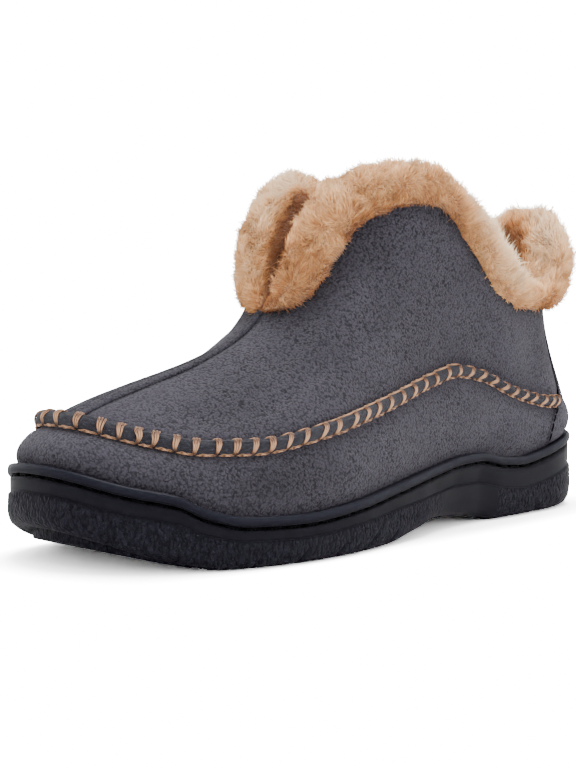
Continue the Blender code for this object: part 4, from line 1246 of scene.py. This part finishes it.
# a place off the shaft: its point plus its level normal times the offset
def shaftOffset(around, height, offset):
    step = 1e-3
    along = shaftPoint(around + step, height) - shaftPoint(around - step, height)
    size = np.hypot(along[..., 0], along[..., 1])
    normal = np.stack([along[..., 1] / size, -along[..., 0] / size, 0 * size], axis=-1)
    return shaftPoint(around, height) + normal * np.asarray(offset)[..., None]


# control rings of the cuff: up inside the suede, out over its edge, round the top, and down the inner face
def cuffRings(turn):
    around = aroundShaft(turn)
    side, share = sideAndShare(around)
    inner = (side < 0) * 1.0
    edge = suedeTop(around)
    top = curveThrough(fleeceTable, 1, share) + inner * curveThrough(fleeceInnerSideTable, 1, share)
    top = form["throatHeight"] + top * form["fleeceRise"]
    bulge = curveThrough(fleeceTable, 2, share) + inner * curveThrough(fleeceInnerSideTable, 2, share)
    bulge = bulge * form["fleeceBulge"]
    thick = curveThrough(fleeceTable, 3, share) * form["fleeceThickness"]
    thick = thick * (1 + inner * (curveThrough(fleeceInnerSideTable, 3, share) - 1))
    lift = 2 * form["gap"]
    rise = top - edge - lift
    inside = form["wall"] + 2 * form["gap"]
    rings = [upperPoint(turn, level) - upperNormal(turn, level) * inside for level in tuckLevels]
    rings.append(shaftOffset(around, edge + lift, -inside + 0 * share))
    rings += [shaftOffset(around, edge + lift + up * rise, out * bulge) for up, out in fleeceOuter]
    for up, into in fleeceInner:
        rings.append(shaftOffset(around, edge + lift + up * rise, bulge * 0.25 - into * thick))
    low = tuckLevels[0]
    rings.append(upperPoint(turn, low) - upperNormal(turn, low) * (inside + 0.5 * thick[:, None]))
    return np.array(rings)


# how deep in the front fold a place lies: a bell curve to the fourth power of the share round the shaft,
# wider on the inner side, where the photo shows the fold's dark flank
def foldDepth(turn, height):
    side, share = sideAndShare(aroundShaft(turn))
    inner = np.interp(height, [0.096, 0.112, 0.138], [0.014, 0.032, 0.056])
    outer = np.interp(height, [0.096, 0.112, 0.138], [0.010, 0.034, 0.034])
    return np.exp(-((share / np.where(side < 0, inner, outer)) ** 4))


# the cuff's body: a cubic through the control rings, with lumps of noise along the normal where it shows
def makeCuff():
    turn = turnsRound(cuff["columns"])
    turn = turn - 0.3 * np.sin(2 * math.pi * turn) / (2 * math.pi)
    body = throughRings(cuffRings(turn), cuff["between"])
    normals = gridNormals(body)
    shown = np.zeros(len(body))
    first, last = 3 * cuff["between"] + 3, 13 * cuff["between"]
    shown[first:last] = 1
    lump = cuff["lump"] * softNoise(body, cuff["lumpWave"], 2) * shown[:, None]
    body = body + normals * lump[..., None]
    faces = gridFaces(len(body), cuff["columns"], closedUp=True)
    # painted shade: the pile darkens in the front fold
    light = 0.62 - 0.6 * foldDepth(turn[None, :], body[..., 2])
    uv = np.stack([light, light], axis=-1)
    piece = newPiece("fleeceCuff", body, [faces], fleecePile, uv)
    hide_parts("collar_fleece")
    return turn, body, normals, first, last


# locks: roots spread over the shown pile, fewer on its inner face; each bends from the normal into a swirl
# that it shares with its neighbours, is drawn towards the middle of its clump, and tapers to a point
def makeLocks(batch, turn, body, normals, first, last):
    draw = np.random.default_rng(11 + 12 * batch)
    count = cuff["locks"]
    a, b = body[first:last, :], np.roll(body, -1, axis=1)[first:last, :]
    c = body[first + 1 : last + 1, :]
    # ring 4 to 8 is the outer face, 9 the top, 12 low on the inner face
    ring = np.arange(first, last) / cuff["between"]
    share = np.interp(ring, [8.8, 10.5, 13.0], [1.0, 0.55, 0.30])
    area = np.linalg.norm(np.cross(b - a, c - a), axis=-1) * share[:, None]
    pick = draw.choice(area.size, size=count, p=area.ravel() / area.sum())
    row, column = np.divmod(pick, cuff["columns"])
    u, v = draw.random((2, count, 1))
    root = a[row, column] + (b - a)[row, column] * u + (c - a)[row, column] * v
    normal = normals[first:last][row, column]
    turn = turn[column]
    fold, ring = foldDepth(turn, root[:, 2]), ring[row]
    side, share = sideAndShare(aroundShaft(turn))
    rear = np.clip((share - 0.72) / 0.1, 0, 1)
    # the outer side's slope has long wisps, made paler there by painted light
    band = np.exp(-(((share - 0.56) / 0.09) ** 2)) * (side > 0)
    swirl = np.stack([softNoise(root, 0.015, 100 + k) for k in range(3)], axis=-1)
    swirl[:, 2] += 0.30 + 1.4 * rear + 1.0 * band
    swirl[:, 1] += 0.8 * band
    lean = swirl - np.sum(swirl * normal, axis=-1, keepdims=True) * normal
    lean = unit(lean + 0.26 * draw.normal(size=(count, 3))) * 0.95
    low, high = cuff["lockLength"]
    length = low + (high - low) * draw.random(count) ** 1.3
    length = length * np.interp(ring, [3.5, 4.3, 5.4], [0.50, 0.66, 1.0])
    length = length * (1 - 0.72 * fold) * (1 + 0.6 * rear + 0.3 * band)
    length = length[:, None] * np.where(draw.random((count, 1)) < 0.06, 1.6, 1.0)
    clump = softNoise(root, cuff["clumpWave"], 71, 9)
    reach = cuff["clumpPull"] * (1 + 0.8 * rear[:, None])
    pull = softNoise(root, cuff["clumpWave"], 71, 9, slope=True) * reach
    pull -= np.sum(pull * normal, axis=-1, keepdims=True) * normal
    t = np.array([0.0, 0.5, 1.0])[None, :, None]
    grow = normal[:, None] * (t - 0.40 * t**2) + lean[:, None] * (0.25 * t + 0.60 * t**2)
    path = root[:, None] - normal[:, None] * 0.0004 + grow * length[:, None] + pull[:, None] * t**1.5
    radius = cuff["lockWidth"] * draw.uniform(0.7, 1.3, count)
    points, faces, uv = conePoints(path, radius)
    # the lock's tone and painted light: paler on the top, on the outer slope, behind and on the inner side
    # and higher up the outer face; painted shade in the fold, low inside, where it meets the suede and
    # between clumps
    by = cuff["toneAndPaintedLight"]
    top = np.clip((ring - 6.2) / 1.8, 0, 1) * np.clip((10.6 - ring) / 1.2, 0, 1)
    outside = np.clip((10.2 - ring) / 1.0, 0, 1)
    pale = by["top"] * top + by["band"] * band + by["rear"] * rear * outside
    pale = pale + by["inner"] * (side < 0) * np.clip((0.4 - share) / 0.15, 0, 1)
    toneAndPaintedLight = np.interp(ring, [4.2, 5.2, 6.4], [0.17, 0.31, 0.43]) + pale * (1 - fold)
    toneAndPaintedLight = toneAndPaintedLight + by["clump"] * clump + by["cloud"] * softNoise(root, 0.014, 72)
    toneAndPaintedLight = toneAndPaintedLight + by["spread"] * draw.normal(size=count) - by["fold"] * fold
    toneAndPaintedLight = toneAndPaintedLight - (by["inside"] + by["insideRear"] * rear) * np.clip((ring - 9.6) / 1.2, 0, 1)
    toneAndPaintedLight = toneAndPaintedLight - by["foot"] * np.clip(4.9 - ring, 0, 1)
    uv[:, :, 0] = np.clip(toneAndPaintedLight, 0.0, 1.0)[:, None]
    newPiece("fleeceLocks" + "ABCDEFGH"[batch], points, faces, fleeceLocks, uv)


# three-sided spikes along short paths of root, middle and tip, closed at the root
def conePoints(path, radius):
    count = len(path)
    tangent = unit(path[:, 2] - path[:, 0])
    first = unit(np.cross(tangent, np.array([0.31, 0.24, 0.92])))
    second = np.cross(tangent, first)
    angle = np.arange(3) * 2 * math.pi / 3
    spoke = first[:, None] * np.cos(angle)[:, None] + second[:, None] * np.sin(angle)[:, None]
    spoke = spoke * radius[:, None, None]
    points = np.concatenate([path[:, :1] + spoke, path[:, 1:2] + 0.8 * spoke, path[:, 2:]], axis=1)
    quads = np.array([(0, 1, 4, 3), (1, 2, 5, 4), (2, 0, 3, 5)])
    ends = np.array([(3, 4, 6), (4, 5, 6), (5, 3, 6), (2, 1, 0)])
    offset = np.arange(count)[:, None, None] * 7
    uv = np.zeros((count, 7, 2))
    uv[:, 3:6, 1], uv[:, 6, 1] = 0.5, 1.0
    return points, [(quads[None] + offset).reshape(-1, 4), (ends[None] + offset).reshape(-1, 3)], uv


cuffTurn, body, normals, firstRow, lastRow = makeCuff()
for batch in range(cuff["batches"]):
    makeLocks(batch, cuffTurn, body, normals, firstRow, lastRow)

# fleece inside the shoe and over the insole
lining = {
    "columns": 300,
    "rows": 40,
    "off": 0.0006,
    "thick": 0.0036,
    "lump": 0.0006,
    "foot": -0.95,  # levels of its two ends
    "top": 1.70,
    "insole": 0.0065,
    "clearance": 0.0006,
}


# the lining: a shell along the upper's inside, moved in along the normal, its thickness varied by noise
def makeLining():
    level = np.linspace(lining["foot"], lining["top"], lining["rows"])
    turnGrid, levelGrid = everyTurnAndLevel(turnsRound(lining["columns"]), level)
    base, normal = upperPoint(turnGrid, levelGrid), upperNormal(turnGrid, levelGrid)
    outer = base - normal * (form["wall"] + lining["off"])
    soft = lining["thick"] + lining["lump"] * softNoise(base, 0.012, 9)
    inner = base - normal * (form["wall"] + lining["off"] + soft)[..., None]
    every = np.concatenate([outer, inner[::-1]])
    faces = gridFaces(len(every), lining["columns"], closedUp=True)
    newPiece("fleeceLining", every, [faces], liningPile)


# the insole: rings from its lower edge up over a soft border, shrinking to the middle line
def makeInsole():
    x, y, nx, ny, station = onOutline(turnsRound(lining["columns"]))
    edge = upperInset + form["wall"] + lining["clearance"]
    middle = middleLine(station, y, 0.94, 0.09)
    rows = []
    profile = [(0.0, 0.0, 0.004), (0.5, 0.0, 0.001), (1.0, 0.0, 0.001), (1.0, 0.3, 0.0), (1.0, 0.75, 0.0)]
    profile += [(share, 1.0, 0.0018) for share in (1.0, *np.linspace(0.93, 0.0, 22))]
    for share, up, inset in profile:
        off = edge + inset
        flat, at = drawnIn(np.stack([x - nx * off, y - ny * off], axis=-1), middle, share)
        place = np.stack([flat[:, 0], flat[:, 1], 0 * at], axis=-1)
        soft = 0.0004 * softNoise(place, 0.012, 4) * (up == 1.0)
        height = cupFloor(at) + form["gap"] + up * lining["insole"] * (0.93 + 0.07 * share) + soft
        rows.append(np.concatenate([flat, height[:, None]], axis=1))
    every = np.array(rows)
    piece = newPiece("insoleBed", every, [gridFaces(len(every), lining["columns"])], liningPile)
    closePoles(piece)
    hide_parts("insole")


makeLining()
makeInsole()

# a plain pale floor that curves up far behind, so that no horizon shows
studio = {
    "floor": 1.3,  # radii, height of the wall
    "bowl": 3.2,
    "wall": 2.6,
    "middle": -0.12,
    "sides": 96,
    "glow": 14.0,  # brightness far from the sole and beside it
    # the painted contact shadow: the camera's glow inside it, and its oval round the sole
    "glowInPaintedShadow": 3.0,
    "paintedShadowHalf": (0.052, 0.147),  # half breadth and half length of the sole's oval
    "paintedShadowMiddle": -0.10,
    "paintedShadowFade": (0.85, 1.45),
    "world": 1.6,
}
# place, aim, diameter in metres, power in watts
lampTable = {
    "keySoftbox": ((0.9, -1.1, 1.5), (0, -0.1, 0.05), 1.0, 15),
    "fillSoftbox": ((-1.3, -0.6, 1.0), (0, -0.1, 0.08), 1.0, 26),
    "rearSoftbox": ((1.5, 0.35, 0.9), (0, -0.05, 0.08), 0.9, 42),
    "topSoftbox": ((0.0, 0.2, 1.8), (0, -0.1, 0.05), 1.2, 58),
}


# a round floor, flat near the shoe, then a quarter circle up to an upright wall
def makeFloor():
    angle = np.linspace(0, math.pi / 2, 16)
    bend = studio["bowl"] - studio["floor"]
    curve = studio["floor"] + bend * np.sin(angle[1:])
    radius = np.concatenate([[0.02, 0.5, studio["floor"]], curve, [studio["bowl"]]])
    height = np.concatenate([[0, 0, 0], bend * (1 - np.cos(angle[1:])), [bend + studio["wall"]]])
    around = np.arange(studio["sides"]) * 2 * math.pi / studio["sides"]
    x, y = radius[:, None] * np.cos(around), studio["middle"] + radius[:, None] * np.sin(around)
    points = np.stack([x, y, height[:, None] + 0 * x], axis=-1)
    look = Look("paleFloor", Roughness=0.9, Specular_IOR_Level=0.1)
    cloud = look.noise(look.place(), 3, 2.0, 0.5)
    look.paint(look.mix(cloud, (0.88, 0.88, 0.88), (0.90, 0.90, 0.90)))
    # the camera sees the same floor brighter, as an overexposed white sweep; less so in an oval round the
    # sole, which paints a soft contact shadow there
    place = look.place()
    breadth, length = studio["paintedShadowHalf"]
    x, y = look.parts(place, 0) * (1 / breadth), (look.parts(place, 1) - studio["paintedShadowMiddle"]) * (1 / length)
    away = (x * x * x * x + y * y * y * y) ** 0.25
    glowInShadow, far = studio["glowInPaintedShadow"], studio["glow"]
    colour = look.mix(look.between(away, *studio["paintedShadowFade"]), (glowInShadow, glowInShadow, glowInShadow), (far, far, far))
    bright = look.node("ShaderNodeBsdfDiffuse", {}, {"Color": colour})
    seen = look.node("ShaderNodeLightPath", {}, {}, "Is Camera Ray")
    both = look.node("ShaderNodeMixShader", {}, {0: seen, 1: Field(look, look.shader.outputs[0]), 2: bright})
    look.links.new(both.socket, look.nodes["Material Output"].inputs["Surface"])
    mesh = bpy.data.meshes.new("paleFloor")
    faces = gridFaces(len(radius), studio["sides"]).tolist() + [list(range(studio["sides"]))]
    mesh.from_pydata(points.reshape(-1, 3).tolist(), [], faces)
    mesh.polygons.foreach_set("use_smooth", [True] * len(faces))
    mesh.materials.append(look.material)
    floor = bpy.data.objects.new("paleFloor", mesh)
    bpy.context.scene.collection.objects.link(floor)


# a round soft lamp that stands at one place and shines towards another
def makeLight(name, at, aim, size, power):
    lamp = bpy.data.lights.new(name, "AREA")
    lamp.shape, lamp.size, lamp.energy = "DISK", size, power
    holder = bpy.data.objects.new(name, lamp)
    way = np.array(aim, float) - np.array(at, float)
    holder.location = at
    holder.rotation_euler = (math.acos(-way[2] / np.linalg.norm(way)), 0, math.atan2(way[0], -way[1]))
    bpy.context.scene.collection.objects.link(holder)


# the floor, an even world light and the lamps
def makeStudio():
    makeFloor()
    world = bpy.data.worlds.new("softStudio")
    world.use_nodes = True
    world.node_tree.nodes["Background"].inputs["Color"].default_value = (1, 1, 1, 1)
    world.node_tree.nodes["Background"].inputs["Strength"].default_value = studio["world"]
    bpy.context.scene.world = world
    for name, settings in lampTable.items():
        makeLight(name, *settings)


makeStudio()
